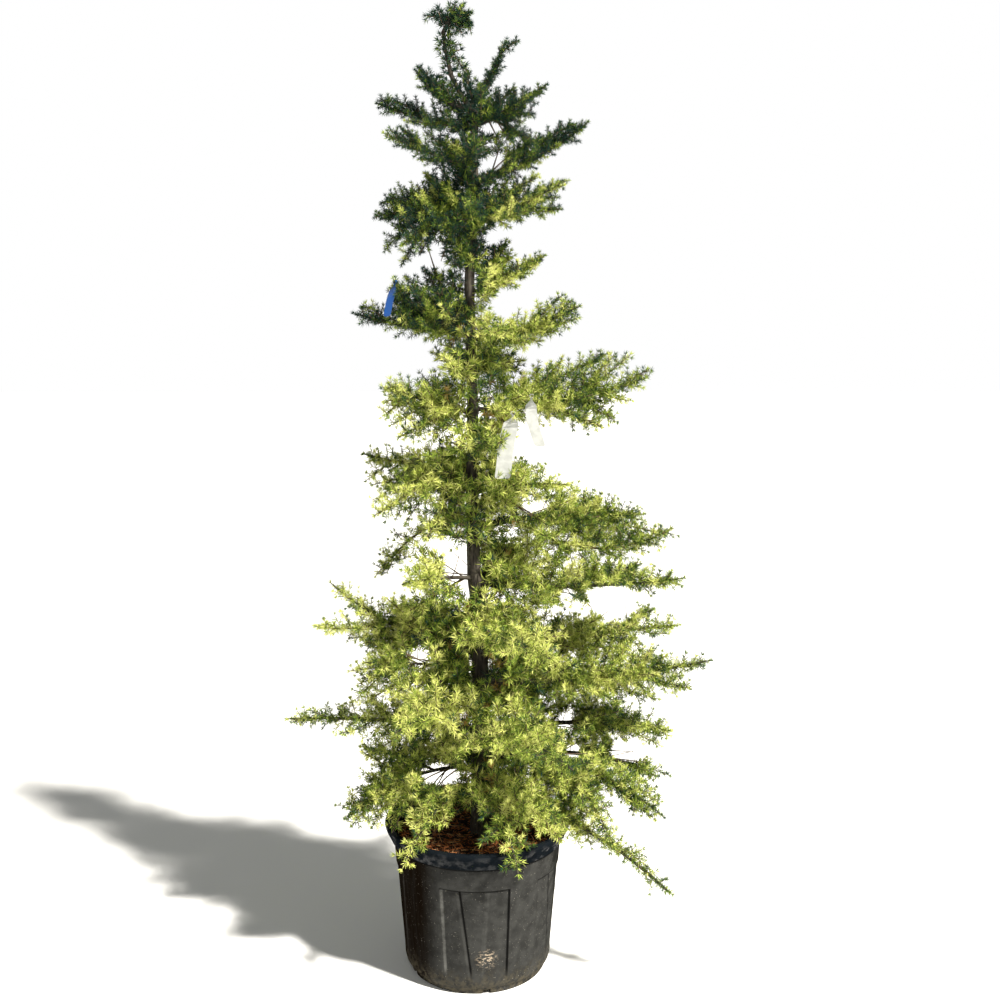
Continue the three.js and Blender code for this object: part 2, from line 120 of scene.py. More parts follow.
# a long side shoot is a twig with a shoot at its tip and one to each side
TWIG_END = 0.55  # share of the length that is bare twig
TWIG_TIP = 0.5  # share at which the shoot at its tip starts, and that shoot's share
TWIG_FORK = (0.36, 0.1)  # share at which a side one starts
TWIG_FAN = (0.9, 0.2)  # its sideways part over its forward part
TWIG_LIFT = (0.15, 0.25)  # its upward part
TWIG_SIDE = (0.42, 0.06)  # its length over the whole twig's

# name, height on the trunk, bearing, reach, rise of the tip, arch of the middle,
# width of the side shoots, length of bare limb (0: the needles start at the trunk)
BOUGHS = [
    ("crown_tip", 2296, 0, 66, 22, 34, 56, 0),
    ("second_leader", 2128, 4, 86, 155, -14, 40, 0),
    ("right_17", 2090, -12, 176, 88, -12, 96, 0),
    ("left_17", 2132, 184, 128, 84, -26, 60, 0),
    ("left_16", 2080, 171, 242, 68, -4, 80, 0),
    ("left_15", 2008, 203, 190, 68, -30, 70, 0),
    ("right_16", 1960, 12, 288, 155, -22, 84, 0),
    ("right_15", 1856, -14, 222, 34, 16, 96, 0),
    ("left_14", 1896, 160, 246, -16, 12, 140, 0),
    ("right_14", 1700, 10, 190, 94, -14, 96, 0),
    ("left_13", 1602, 177, 290, 52, -10, 120, 0),
    ("right_13", 1588, -6, 268, 82, -14, 104, 0),
    ("left_12", 1410, 190, 212, 66, -4, 144, 0),
    ("right_12", 1420, 3, 436, 80, -20, 150, 0),
    ("left_11", 1262, 166, 286, 44, -4, 120, 0),
    ("right_11", 1215, -26, 256, 32, 10, 130, 0),
    ("left_10", 1130, 150, 280, -148, 58, 76, 150),
    ("right_10", 1130, 14, 462, 14, 16, 160, 92),
    ("right_9", 990, -18, 524, 42, -14, 170, 104),
    ("left_9", 840, 176, 380, 150, -48, 160, 96),
    ("right_8", 815, 20, 580, 16, 6, 170, 118),
    ("right_7", 735, -6, 580, 70, -18, 180, 118),
    ("left_8", 762, 196, 300, 46, 8, 180, 0),
    ("left_7", 605, 178, 500, 30, 14, 160, 104),
    ("right_6", 605, 14, 530, -46, 24, 190, 112),
    ("right_5", 520, 24, 540, -124, 50, 172, 120),
    ("left_6", 510, 200, 360, -84, 44, 170, 0),
    ("right_4", 535, -9, 468, -134, 66, 160, 110),
    ("right_3", 450, -20, 500, -205, 50, 90, 335),
    ("front_3", 455, -74, 318, -98, 58, 130, 0),
    ("front_2", 450, -128, 312, -106, 66, 96, 0),
    ("front_4", 620, -58, 400, 4, 20, 180, 0),
    ("front_5", 690, -124, 360, 10, 14, 180, 0),
    ("front_6", 860, -64, 370, 20, 12, 176, 0),
    ("front_7", 1000, -128, 280, 30, 8, 160, 0),
    ("front_8", 1318, -66, 180, 36, 4, 130, 0),
    ("front_9", 1490, -112, 130, 40, 0, 110, 0),
    ("back_2", 470, 100, 410, -64, 50, 170, 0),
    ("back_3", 660, 64, 470, 10, 18, 190, 0),
    ("back_4", 790, 118, 430, 26, 14, 180, 0),
    ("back_5", 980, 78, 380, 30, 10, 170, 0),
    ("back_6", 1230, 108, 260, 40, 6, 150, 0),
    ("back_7", 1510, 78, 210, 50, 0, 130, 0),
    ("back_8", 1770, 96, 150, 50, 0, 100, 0),
]

# stems that fork off a mass's own stem: the mass, then for each of them the place along that stem (0 to 1),
# bearing, reach, rise, arch, width
FORKS = [
    ("crown_tip", (0.3, 176, 60, 6, 0, 20)),
    ("second_leader", (0.03, 180, 16, 86, 0, 42)),
    ("right_17", (0.2, 12, 110, -52, 0, 70)),
    ("left_15", (0.06, 166, 70, 56, 0, 60)),
    ("right_16", (0.12, 24, 110, 96, 0, 70)),
    ("right_15", (0.45, 10, 120, 64, 8, 60), (0.08, 30, 110, 96, 0, 70)),
    ("left_14", (0.14, 222, 170, -100, 4, 120), (0.06, 176, 90, 76, 0, 84)),
    ("right_14", (0.1, 30, 70, 122, 0, 76)),
    ("left_13", (0.25, 205, 120, 100, 10, 100), (0.08, 184, 66, 200, 0, 100)),
    ("right_13", (0.16, -40, 110, -16, 0, 80)),
    ("left_12", (0.1, 204, 160, -64, 4, 110)),
    ("right_12", (0.1, 24, 320, 136, 0, 110), (0.34, -30, 176, -50, 6, 110)),
    ("left_11", (0.12, 206, 214, -100, 8, 120), (0.04, 232, 140, -150, 0, 110)),
    ("right_11", (0.1, -8, 150, -84, 4, 110)),
    ("front_8", (0.1, -30, 90, 92, 0, 90)),
    ("right_10", (0.04, -6, 394, -16, -62, 160)),
    ("left_9", (0.5, 205, 190, 10, -12, 100), (0.03, 208, 150, 124, 0, 90)),
    ("front_7", (0.08, 208, 160, -70, 0, 120)),
    ("front_6", (0.12, -24, 150, 112, 0, 110)),
    ("right_8", (0.55, 44, 180, 30, 8, 90)),
    ("right_7", (0.5, -24, 180, -14, 4, 120)),
    ("left_6", (0.3, 158, 210, 36, 8, 120)),
    ("right_4", (0.06, -36, 250, -186, 66, 130)),
    ("front_3", (0.25, -48, 240, -44, 34, 100), (0.05, -30, 160, 34, 10, 100)),
]

# stems in the same form that only the dressed crown has, where it is closed
INFILL = [
    ("crown_tip", (0.15, 24, 46, 2, 6, 54), (0.3, -50, 40, -6, 6, 54), (0.2, 90, 40, -6, 6, 52),
     (0.55, 0, 26, -18, 4, 50)),
    ("right_17", (0.1, -30, 120, 50, 0, 80), (0.25, 30, 110, 20, 0, 80)),
    ("left_16", (0.05, 196, 150, 8, 0, 80)),
    ("left_15", (0.1, 170, 110, 10, 0, 70)),
    ("left_14", (0.1, 200, 160, -30, 10, 110), (0.3, 190, 130, 20, 8, 100), (0.03, 250, 100, -70, 0, 100),
     (0.02, 130, 130, -50, 0, 100), (0.02, 290, 90, -20, 0, 90)),
    ("left_13", (0.1, 215, 130, 110, 0, 110), (0.12, 190, 150, 50, 0, 100), (0.04, 250, 100, 60, 0, 100)),
    ("right_15", (0.05, -30, 130, 20, 0, 90)),
    ("right_14", (0.05, -20, 110, 60, 0, 90)),
    ("right_13", (0.05, 14, 190, 30, 0, 90)),
    ("left_12", (0.06, 176, 170, 20, 0, 110)),
    ("left_11", (0.05, 184, 220, -30, 8, 120)),
    ("right_12", (0.2, 14, 240, 40, 0, 120)),
    ("right_11", (0.06, 10, 200, -30, 6, 120)),
    ("right_9", (0.12, 0, 125, -30, 0, 130)),
    ("left_9", (0.1, 190, 180, -10, 0, 130)),
    ("right_8", (0.12, 0, 300, -60, 10, 140), (0.35, 10, 160, -30, 0, 110)),
    ("right_7", (0.12, 12, 300, -70, 10, 140), (0.25, -24, 220, 40, 0, 120)),
    ("left_8", (0.1, 214, 190, -30, 10, 140), (0.05, 176, 200, -60, 10, 140)),
    ("left_7", (0.06, 205, 170, -60, 10, 130), (0.05, 160, 190, 10, 10, 120)),
    ("left_6", (0.12, 216, 200, -60, 20, 130), (0.35, 186, 150, -50, 16, 120),
     (0.08, 172, 190, 30, 10, 130)),
    ("right_6", (0.33, -8, 180, 16, 8, 120), (0.3, 28, 180, -40, 10, 110)),
    ("right_5", (0.42, 14, 150, -10, 6, 120)),
    ("right_4", (0.1, -24, 110, -180, 20, 120), (0.35, -30, 80, -130, 20, 110),
     (0.2, -50, 140, -110, 30, 120), (0.05, -12, 180, -150, 44, 130), (0.28, -14, 130, -150, 30, 120)),
    ("front_3", (0.12, -30, 220, -60, 40, 120), (0.04, -22, 260, -120, 60, 120)),
    ("left_6", (0.04, 230, 200, -96, 36, 120), (0.16, 238, 160, -76, 24, 120)),
    ("front_2", (0.08, 196, 180, -40, 36, 110), (0.25, 188, 100, -16, 20, 100)),
    ("back_3", (0.1, 20, 260, 20, 0, 150), (0.2, 140, 240, 20, 0, 150)),
    ("back_4", (0.1, 60, 240, -20, 0, 150), (0.2, 170, 220, 10, 0, 150)),
    ("back_5", (0.1, 20, 240, 40, 0, 150), (0.15, 140, 200, -10, 0, 150)),
    ("back_6", (0.1, 30, 180, 20, 0, 130), (0.1, 160, 170, 10, 0, 130)),
    ("back_7", (0.1, 20, 130, 20, 0, 110), (0.1, 150, 120, 40, 0, 110)),
    ("back_5", (0.3, 40, 200, 60, 0, 130)),
    ("right_10", (0.25, 20, 200, 0, 6, 120), (0.5, 0, 160, -16, 0, 100)),
    ("right_9", (0.3, 10, 200, 20, 6, 120), (0.55, -10, 160, 10, 0, 100)),
    ("left_16", (0.04, 100, 110, 70, 0, 70)),
    ("right_17", (0.04, -90, 110, 60, 0, 70)),
    ("left_15", (0.03, -80, 120, 30, 0, 80), (0.03, 80, 120, 50, 0, 80)),
    ("right_16", (0.02, 110, 130, 30, 0, 80)),
    ("right_15", (0.02, -100, 130, 30, 0, 90)),
    ("left_14", (0.02, 90, 150, 20, 0, 90)),
    ("right_14", (0.03, -80, 130, 40, 0, 90)),
    ("left_13", (0.03, 110, 160, 60, 0, 100)),
    ("right_13", (0.03, -70, 150, 20, 0, 100)),
]

# short stems of the dressed crown that fill out its edge: the mass, then for each the place along its stem,
# how far aside and how high its tip is seen from the front at the trunk's distance, its depth, arch, width
INFILL_TIPS = [
    ("crown_tip", (0.6, -10, 2300, 0, 4, 50), (0.3, -30, 2295, -10, 4, 44), (0.5, -12, 2312, 0, 2, 40),
     (0.0, -20, 2205, -8, -4, 50)),
    ("second_leader", (0.85, 100, 2280, 6, 4, 34), (0.05, 60, 2235, 4, -10, 26)),
    ("left_17", (0.15, -120, 2210, -10, -4, 60), (0.5, -135, 2222, -6, 4, 46),
     (0.3, -100, 2195, 0, 0, 46)),
    ("left_16", (0.45, -230, 2145, 35, 12, 50)),
    ("left_15", (0.55, -205, 2085, -70, -14, 56), (0.75, -218, 2072, -70, -8, 46),
     (0.12, -120, 2075, -20, 0, 60)),
    ("right_17", (0.2, 85, 2170, -20, 10, 60), (0.25, 85, 2055, -10, -6, 50),
     (0.15, 60, 2045, -15, 0, 60), (0.35, 90, 2045, -5, 0, 60)),
    ("right_16", (0.1, 60, 2048, 20, 0, 60), (0.35, 240, 2095, 50, 14, 60), (0.6, 250, 2088, 50, 10, 44),
     (0.45, 195, 2060, 45, 10, 44), (0.2, 170, 2060, 40, 14, 60), (0.05, 100, 2035, 10, 4, 50)),
    ("right_15", (0.12, 225, 1965, 20, 10, 36), (0.2, 105, 1950, 20, 8, 50),
     (0.25, 150, 1978, 20, 10, 50), (0.1, 85, 1975, 10, 6, 54), (0.35, 200, 1925, 0, 6, 44)),
    ("left_14", (0.6, -225, 1910, 70, 10, 70), (0.7, -242, 1875, 60, 4, 60),
     (0.55, -220, 1795, 30, 0, 70), (0.35, -180, 1762, 20, 0, 70), (0.45, -190, 1825, 20, 0, 80),
     (0.2, -120, 1980, 20, 6, 70), (0.1, -85, 1770, -20, 0, 80), (0.25, -135, 1790, -20, 0, 70)),
    ("left_13", (0.35, -200, 1715, -30, 8, 90), (0.2, -170, 1740, -20, 10, 90),
     (0.15, -140, 1700, -40, 8, 100), (0.05, -95, 1705, -60, 6, 90), (0.3, -190, 1650, -50, 4, 80)),
    ("left_14", (0.05, -60, 1830, -30, 0, 80)),
    ("left_13", (0.1, -125, 1760, -10, 10, 80), (0.7, -275, 1665, 10, 10, 50),
     (0.5, -205, 1690, 0, 10, 70)),
    ("right_14", (0.15, 60, 1820, 30, 0, 80), (0.25, 85, 1800, 20, 0, 70), (0.5, 155, 1785, 30, 6, 40)),
    ("right_13", (0.75, 230, 1680, -25, 4, 60), (0.5, 208, 1695, -20, 0, 60),
     (0.35, 160, 1585, -20, -6, 60), (0.6, 250, 1640, -20, -6, 60), (0.45, 205, 1610, -20, -6, 60),
     (0.1, 75, 1515, -30, 0, 80)),
    ("right_12", (0.55, 340, 1555, 60, 0, 70), (0.6, 378, 1555, 40, 0, 60), (0.6, 345, 1388, -20, -4, 80),
     (0.85, 425, 1515, 20, 6, 40), (0.55, 335, 1400, -20, -4, 80), (0.4, 280, 1385, -40, -4, 80),
     (0.7, 380, 1440, 10, -4, 60)),
    ("left_12", (0.6, -225, 1440, -30, 0, 80), (0.8, -228, 1472, -30, 0, 60),
     (0.7, -232, 1400, -30, 0, 70), (0.45, -210, 1380, -40, 0, 80), (0.15, -110, 1345, -30, 0, 80)),
    ("left_11", (0.7, -270, 1245, 40, 0, 70), (0.5, -255, 1185, -20, 0, 80),
     (0.25, -175, 1140, -60, 0, 90), (0.4, -200, 1150, -30, 0, 70), (0.1, -90, 1085, -40, 0, 80)),
    ("left_10", (0.6, -190, 1045, 100, 0, 60), (0.75, -236, 1072, 115, 0, 60),
     (0.8, -228, 1036, 115, 0, 60), (0.85, -250, 1008, 130, 4, 50)),
    ("left_9", (0.1, -110, 1015, 0, 0, 90), (0.3, -185, 950, 0, 0, 80), (0.5, -260, 830, 10, 0, 90)),
    ("right_9", (0.2, 210, 935, -60, 0, 90), (0.3, 262, 962, -70, 0, 70), (0.15, 178, 945, -40, 0, 80),
     (0.35, 290, 920, -80, 0, 70), (0.5, 405, 1040, -80, 4, 70)),
    ("right_10", (0.4, 505, 1105, 60, 0, 50), (0.3, 430, 1065, 40, -4, 60), (0.25, 370, 1060, 20, 0, 90),
     (0.45, 470, 1075, 30, 0, 80)),
    ("right_9", (0.4, 340, 1035, -60, 0, 90)),
    ("left_8", (0.5, -290, 845, -40, 4, 90), (0.6, -322, 765, -50, 0, 90), (0.7, -308, 690, -40, 0, 90)),
    ("left_9", (0.35, -318, 850, 0, -4, 80)),
    ("left_8", (0.6, -300, 730, -50, 0, 90), (0.4, -280, 685, -30, 0, 90)),
    ("left_6", (0.5, -290, 555, -40, 0, 80), (0.85, -330, 420, -60, 0, 90),
     (0.75, -320, 360, -110, 0, 80), (0.65, -300, 405, -110, 0, 100), (0.55, -270, 355, -110, 0, 110),
     (0.5, -245, 400, -130, 0, 110), (0.4, -220, 335, -110, 0, 100)),
    ("right_6", (0.35, 320, 612, 30, 0, 80)),
    ("right_5", (0.42, 300, 568, 40, 0, 80), (0.55, 495, 485, 180, 6, 60), (0.65, 465, 430, 190, 0, 60)),
    ("right_6", (0.6, 470, 565, 120, 0, 60), (0.5, 395, 592, 100, 0, 70), (0.75, 492, 590, 130, 4, 50)),
    ("right_5", (0.5, 440, 520, 150, 0, 70)),
    ("right_4", (0.6, 455, 370, -60, -4, 60), (0.65, 472, 418, -40, 0, 70), (0.5, 430, 395, -60, 0, 70),
     (0.25, 262, 318, -100, 0, 90), (0.8, 400, 385, -60, 0, 60), (0.3, 295, 290, -100, 0, 100),
     (0.2, 225, 300, -90, 0, 100)),
    ("right_3", (0.05, 445, 235, -140, 8, 44)),
]

# blank labels and a marking ribbon, each on a short stem as above: its mass and numbers, then the strip's
# own width, its length and how far aside its foot hangs
LABELS = [
    ("tag_small", ("right_12", 0.15, 142, 1450, -120, 14, 30), 27, 115, 18),
    ("tag_large", ("right_12", 0.04, 97, 1405, -130, 10, 30), 37, 150, -28),
    ("ribbon", ("left_13", 0.4, -200, 1735, -60, 6, 50), 17, 76, -24),
]

# ------------------------------------------------------------------ the crown's rule

UP = np.array([0.0, 0.0, 1.0])
ASIDE = np.array([1.0, 0.0, 0.0])
UPRIGHT = 0.05  # level share of a way under which it is taken as straight up


def unit(vectors):
    return vectors / np.linalg.norm(vectors, axis=-1, keepdims=True)


def blend(low, high, share):
    return low + (high - low) * share


def rows_of(table):
    """Every row of a table that names the mass of several rows once."""
    return [(mass, *row) for mass, *rows in table for row in rows]


class Draws:
    """A repeatable run of numbers, the one that the crown's solids were grown from."""

    def __init__(self, seed):
        self.state = seed

    def about(self, middle, spread):
        self.state = (self.state * 1664525 + 1013904223) % 2**32
        return middle + spread * (2 * self.state / 2**32 - 1)


class Path:
    """The curve of a bough: level reach on a bearing, rise of its tip, arch of its middle."""

    def __init__(self, start, bearing, reach, rise, arch):
        angle = math.radians(bearing)
        self.start = np.array(start, float)
        self.tip = self.start + (reach * math.cos(angle), reach * math.sin(angle), rise)
        self.crest = (self.start + self.tip) / 2 + 2 * arch * UP
        self.length = np.linalg.norm(np.diff(self.at(np.linspace(0, 1, 201)), axis=0), axis=1).sum()

    def at(self, t):
        t = np.asarray(t, float)[..., None]
        return (1 - t) ** 2 * self.start + 2 * (1 - t) * t * self.crest + t**2 * self.tip

    def heading(self, t):
        nudge = 1e-4
        return unit(self.at(min(t + nudge, 1)) - self.at(max(t - nudge, 0)))


def trunk_at(height):
    """Sideways and backwards place and radius of the trunk at heights."""
    return [np.interp(height, TRUNK[:, 0], TRUNK[:, k]) for k in (1, 2, 3)]


def trunk_gap(points):
    """Level distance of points from the nearest flat side of the trunk's solid."""
    x, y, radius = trunk_at(points[..., 2])
    half = math.pi / TRUNK_SIDES
    aside, back = points[..., 0] - x, points[..., 1] - y
    off_side = np.mod(np.arctan2(back, aside) + 2 * math.pi, 2 * half) - half
    level = np.hypot(aside, back) * np.cos(off_side) - radius * math.cos(half)
    above = points[..., 2] - TRUNK[-1, 0]
    return np.where(above > 0, above, level)


def ring_about(centre, direction, radius, sides):
    across = np.cross(UP, direction)
    if np.linalg.norm(across) < UPRIGHT:
        across = ASIDE
    across = unit(across)
    over = np.cross(unit(direction), across)
    angles = np.arange(sides)[:, None] * 2 * math.pi / sides
    return centre + radius * (np.cos(angles) * across + np.sin(angles) * over)


def leaves_trunk(path, radius, sides):
    """The first place on a path where a ring about it, with all that it spans, clears the trunk."""
    t = 0.0
    shares = np.array([0, 0.25, 0.5])[:, None, None, None]
    while True:
        ring = ring_about(path.at(t), path.heading(t), radius, sides)
        spans = ring[:, None] + (ring[None] - ring[:, None]) * shares
        if trunk_gap(spans).min() >= CLEAR:
            return t
        t += OUT_STEP


def limb_radius(reach, share):
    (thick, thick_reach), (thin, thin_reach) = LIMB_AT_TRUNK, LIMB_AT_END
    return blend(thick + reach / thick_reach, thin + reach / thin_reach, share)


def strand(start, end, radius, pointed):
    """A straight piece of the crown as one row: its ends, its radius, and whether it is a pointed shoot."""
    return np.array([*start, *end, radius, pointed], float)


def strands_along(path, start, end, radius, steps):
    places = path.at(start + (end - start) * np.arange(steps + 1) / steps)
    return [strand(places[k], places[k + 1], radius, False) for k in range(steps)]


def taper(share):
    """Girth of a pointed shoot at a share of its length, over its greatest."""
    least, growth, end = POINTED
    return np.minimum(1, np.minimum(least + growth * share, (1 - share) / end))


def girth(strands, share):
    """Outer radius at a share of the length: even on a twig, pointed on a shoot."""
    return strands[..., 6] * np.where(strands[..., 7] > 0, taper(share), 1)


def strand_gaps(one, others):
    """Distance from a strand, measured from places along it, to each of the others."""
    shares = np.arange(GAP_STEPS + 1)[:, None] / GAP_STEPS
    places = one[:3] + (one[3:6] - one[:3]) * shares
    along = others[:, 3:6] - others[:, :3]
    t = ((places[:, None] - others[:, :3]) * along).sum(-1) / (along**2).sum(-1)
    t = np.clip(t, 0, 1)
    nearest = others[:, :3] + along * t[..., None]
    gaps = np.linalg.norm(places[:, None] - nearest, axis=-1) - girth(one, shares) - girth(others, t)
    return gaps.min(axis=0)


def clear_of_pot_and_trunk(one):
    shares = np.arange(1, GAP_STEPS + 1)[:, None] / GAP_STEPS
    places = one[:3] + (one[3:6] - one[:3]) * shares
    out = np.hypot(places[:, 0], places[:, 1])
    margin = girth(one, shares[:, 0]) + WALL_ROOM
    over_wall = (out >= POT["mouth_radius"] - margin) & (out < POT["lip_radius"] + margin)
    in_soil = (out < POT["mouth_radius"] - margin) & (places[:, 2] < SOIL_LEVEL + margin)
    in_wall = over_wall & (places[:, 2] < POT["height"] + margin)
    return not (in_soil | in_wall | (trunk_gap(places) < margin)).any()


class Mass:
    """One mass of needles: its stem, the stems that fork off it, and shoots that alternate to their sides."""

    def __init__(self, name, seed):
        self.name = name
        self.draws = Draws(seed)
        self.strands = []
        self.stems = []
        self.shoots = []
        self.twigs = []

    def add_stem(self, path, start, radius, width):
        self.stems.append((path, start, radius, width))
        self.strands += strands_along(path, start, STEM_END, radius, STEM_STEPS)

    def fits(self, one, others):
        """A shoot is kept only where it touches no other mass, limb, trunk or pot."""
        if not clear_of_pot_and_trunk(one) or strand_gaps(one, others).min() < SHOOT_CLEAR:
            return False
        own = np.array([each for each in self.strands if each[7]])
        if len(own) and strand_gaps(one, own).min() < -SHOOT_CROWDING:
            return False
        self.strands.append(one)
        return True

    def add_shoot(self, root, direction, length, others):
        tip = root + direction * length
        if length <= SPRAY_LONGEST:
            radius = min(length * SPRAY_SLENDER, SPRAY_THICKEST)
            if self.fits(strand(root, tip, radius, True), others):
                self.shoots.append((root, tip, radius))
            elif length > SPRAY_SHORTEST:
                self.add_shoot(root, direction, length * SPRAY_RETRY, others)
            return
        fork = blend(root, tip, TWIG_END)
        if not self.fits(strand(root, fork, TWIG_RADIUS, False), others):
            return
        self.twigs.append((root, fork))
        self.add_shoot(blend(root, tip, TWIG_TIP), direction, length * TWIG_TIP, others)
        across = unit(np.cross(UP, direction))
        about = self.draws.about
        for side in (-1, 1):
            place = blend(root, tip, about(*TWIG_FORK))
            aside = direction + across * side * about(*TWIG_FAN)
            aside = aside + UP * about(*TWIG_LIFT)
            self.add_shoot(place, unit(aside), length * about(*TWIG_SIDE), others)

    def add_tip_shoot(self, path, start, others):
        end = path.at(1)
        heel = path.at(max(start, 1 - TIP_SHOOT / path.length))
        radius = min(np.linalg.norm(end - heel) * SPRAY_SLENDER, TIP_THICKEST)
        if self.fits(strand(heel, end, radius, True), others):
            self.shoots.append((heel, end, radius))

    def add_shoots(self, path, start, width, others):
        about = self.draws.about
        count = max(math.floor(path.length * (1 - start) / SPRAY_PITCH + 0.5), 2)
        for i in range(count):
            share = (i + 0.5) / (count + 0.4)
            t = start + (1 - start) * share
            along = path.heading(t)
            across = unit(np.cross(UP, along))
            side = 1 if i % 2 else -1
            fan = math.radians(about(*SIDE_FAN))
            lift = math.radians(about(*SIDE_LIFT))
            direction = along * math.cos(fan) + across * side * math.sin(fan) * math.cos(lift)
            direction = unit(direction + UP * math.sin(fan) * math.sin(lift))
            size = width * blend(SIDE_AT_ROOT, SIDE_AT_TIP, share) * about(*SIDE_SIZE)
            self.add_shoot(path.at(t), direction, size, others)


def grow_crown():
    """Lays all the limbs and stems first, so that the shoots, mass by mass, can keep off them."""
    limbs = []
    masses = []
    for index, (name, height, bearing, reach, rise, arch, width, bare) in enumerate(BOUGHS):
        x, y, _ = trunk_at(height)
        path = Path((x, y, height), bearing, reach, rise, arch)
        mass = Mass(name, FIRST_SEED + SEED_STEP * index)
        if bare:
            thick, radius = limb_radius(reach, 0), limb_radius(reach, 1)
            root, end = leaves_trunk(path, thick, LIMB_SIDES), bare / path.length
            limbs.append({"name": name, "thick": thick,
                          "strands": strands_along(path, root, end, thick, LIMB_STEPS)})
            start, radius = end + CLEAR / path.length, radius * STEM_IN_LIMB
        else:
            start, radius = leaves_trunk(path, STEM_RADIUS, STEM_SIDES), STEM_RADIUS
        mass.add_stem(path, start, radius, width)
        for owner, at, *bend, fork_width in rows_of(FORKS):
            if owner == name:
                root = path.at(start + (1 - start) * at)
                mass.add_stem(Path(root, *bend), 0, TWIG_RADIUS, fork_width)
        masses.append(mass)
    for mass in masses:
        neighbours = [each for each in masses if each is not mass]
        others = np.array([row for limb in limbs for row in limb["strands"]]
                          + [row for each in neighbours for row in each.strands])
        for path, start, _, _ in mass.stems:
            mass.add_tip_shoot(path, start, others)
        for path, start, _, width in mass.stems:
            mass.add_shoots(path, start, width, others)
    return limbs, masses


# ------------------------------------------------------------------ finishes

NOISE_ROUGHNESS = 0.6  # how strong a noise's finer parts are


class Signal:
    """A socket whose values Python's operators carry on through Math nodes."""

    def __init__(self, finish, socket):
        self.finish = finish
        self.socket = socket

    def math(self, operation, *values):
        return self.finish.node("Math", dict(enumerate(values)), operation=operation)

    def __add__(self, other):
        return self.math("ADD", self, other)

    def __sub__(self, other):
        return self.math("SUBTRACT", self, other)

    def __rsub__(self, other):
        return self.math("SUBTRACT", other, self)

    def __mul__(self, other):
        return self.math("MULTIPLY", self, other)

    __radd__ = __add__
    __rmul__ = __mul__


class Finish:
    """A material in the making."""

    def __init__(self, name, **fixed):
        self.material = bpy.data.materials.new(name)
        self.material.use_nodes = True
        self.tree = self.material.node_tree
        self.shader = self.tree.nodes["Principled BSDF"]
        for socket, value in fixed.items():
            self.set(socket.replace("_", " ").title().replace("Ior", "IOR"), value)

    def set(self, socket, value):
        self.feed(self.shader.inputs[socket], value)

    def feed(self, socket, value):
        if isinstance(value, Signal):
            self.tree.links.new(value.socket, socket)
        elif isinstance(value, tuple) and len(value) == 3 and socket.type == "RGBA":
            socket.default_value = (*value, 1)
        else:
            socket.default_value = value

    def node(self, kind, inputs, output=0, **settings):
        """Adds a node, sets it, feeds its sockets with values or signals, and gives one of its outputs."""
        made = self.tree.nodes.new("ShaderNode" + kind)
        for name, value in settings.items():
            setattr(made, name, value)
        for key, value in inputs.items():
            self.feed(made.inputs[key], value)
        return Signal(self, made.outputs[output])

    def place(self, stretch=(1, 1, 1)):
        """The place on the object, in metres, stretched along the axes."""
        here = self.node("TexCoord", {}, output=3)
        return self.node("Mapping", {"Vector": here, "Scale": stretch})

    def noise(self, scale, detail=4, stretch=(1, 1, 1)):
        return self.node("TexNoise", {"Vector": self.place(stretch), "Scale": scale,
                                      "Detail": detail, "Roughness": NOISE_ROUGHNESS})

    def between(self, signal, low, high):
        """0 under low, 1 over high, and smooth in between."""
        return self.node("MapRange", {"Value": signal, "From Min": low, "From Max": high},
                         interpolation_type="SMOOTHSTEP")

    def within(self, signal, rise, fall):
        """1 between a rise and a fall of the signal, each given as where it is 0 and where it is 1."""
        return self.between(signal, *rise) * self.between(signal, *fall)

    def stronger(self, one, other):
        return self.node("Math", {0: one, 1: other}, operation="MAXIMUM")

    def roughen(self, signal, spread, least):
        """Sets a roughness that a signal raises from its least."""
        self.set("Roughness", self.between(signal, 0.2, 0.8) * spread + least)

    def mix(self, share, one, other):
        return self.node("Mix", {0: share, 6: one, 7: other}, output=2, data_type="RGBA")

    def bump(self, height, distance):
        self.set("Normal", self.node("Bump", {"Height": height, "Distance": distance, "Strength": 1.0}))


def bark_finish():
    """Dark grey-brown bark, its darkness partly painted shade of the crown's inside: long fissures painted
    near-black as shade, paler plates and a few spots of lichen.
    """
    made = Finish("bark", specular_ior_level=0.25)
    fissures = made.noise(150, detail=6, stretch=(1, 1, 0.16))
    plates = made.noise(60, detail=3, stretch=(1, 1, 0.4))
    lichen = made.between(made.noise(95, detail=2), 0.64, 0.7)
    # painted shade: near-black in the recessed fissures, and the whole bark darkened for the shade inside the
    # crown
    bark = made.mix(made.between(fissures, 0.36, 0.62), (0.012, 0.01, 0.008), (0.06, 0.05, 0.038))
    bark = made.mix(made.between(plates, 0.45, 0.68) * 0.55, bark, (0.1, 0.09, 0.07))
    made.set("Base Color", made.mix(lichen * 0.6, bark, (0.14, 0.16, 0.11)))
    made.roughen(plates, 0.2, 0.72)
    made.bump(fissures + plates * 0.5, 0.003)
    return made.material


def twig_finish():
    """Young wood: tan to grey-brown, with fine rings where needles have been."""
    made = Finish("twig", specular_ior_level=0.25)
    shade = made.noise(90, detail=3)
    knots = made.noise(420, detail=2)
    twig = made.mix(made.between(shade, 0.35, 0.65), (0.05, 0.036, 0.022), (0.15, 0.1, 0.06))
    made.set("Base Color", made.mix(made.between(knots, 0.5, 0.72) * 0.5, twig, (0.05, 0.035, 0.025)))
    made.roughen(shade, 0.25, 0.65)
    made.bump(knots, 0.0012)
    return made.material


def needle_finish(name, colour, roughness):
    """Needles of one tint: a plain colour dealt out by spray, with a waxy sheen that varies."""
    made = Finish("needles_" + name, base_color=colour, specular_ior_level=0.22)
    wax = made.noise(140, detail=2)
    made.set("Roughness", made.between(wax, 0.3, 0.7) * 0.18 + roughness)
    return made.material


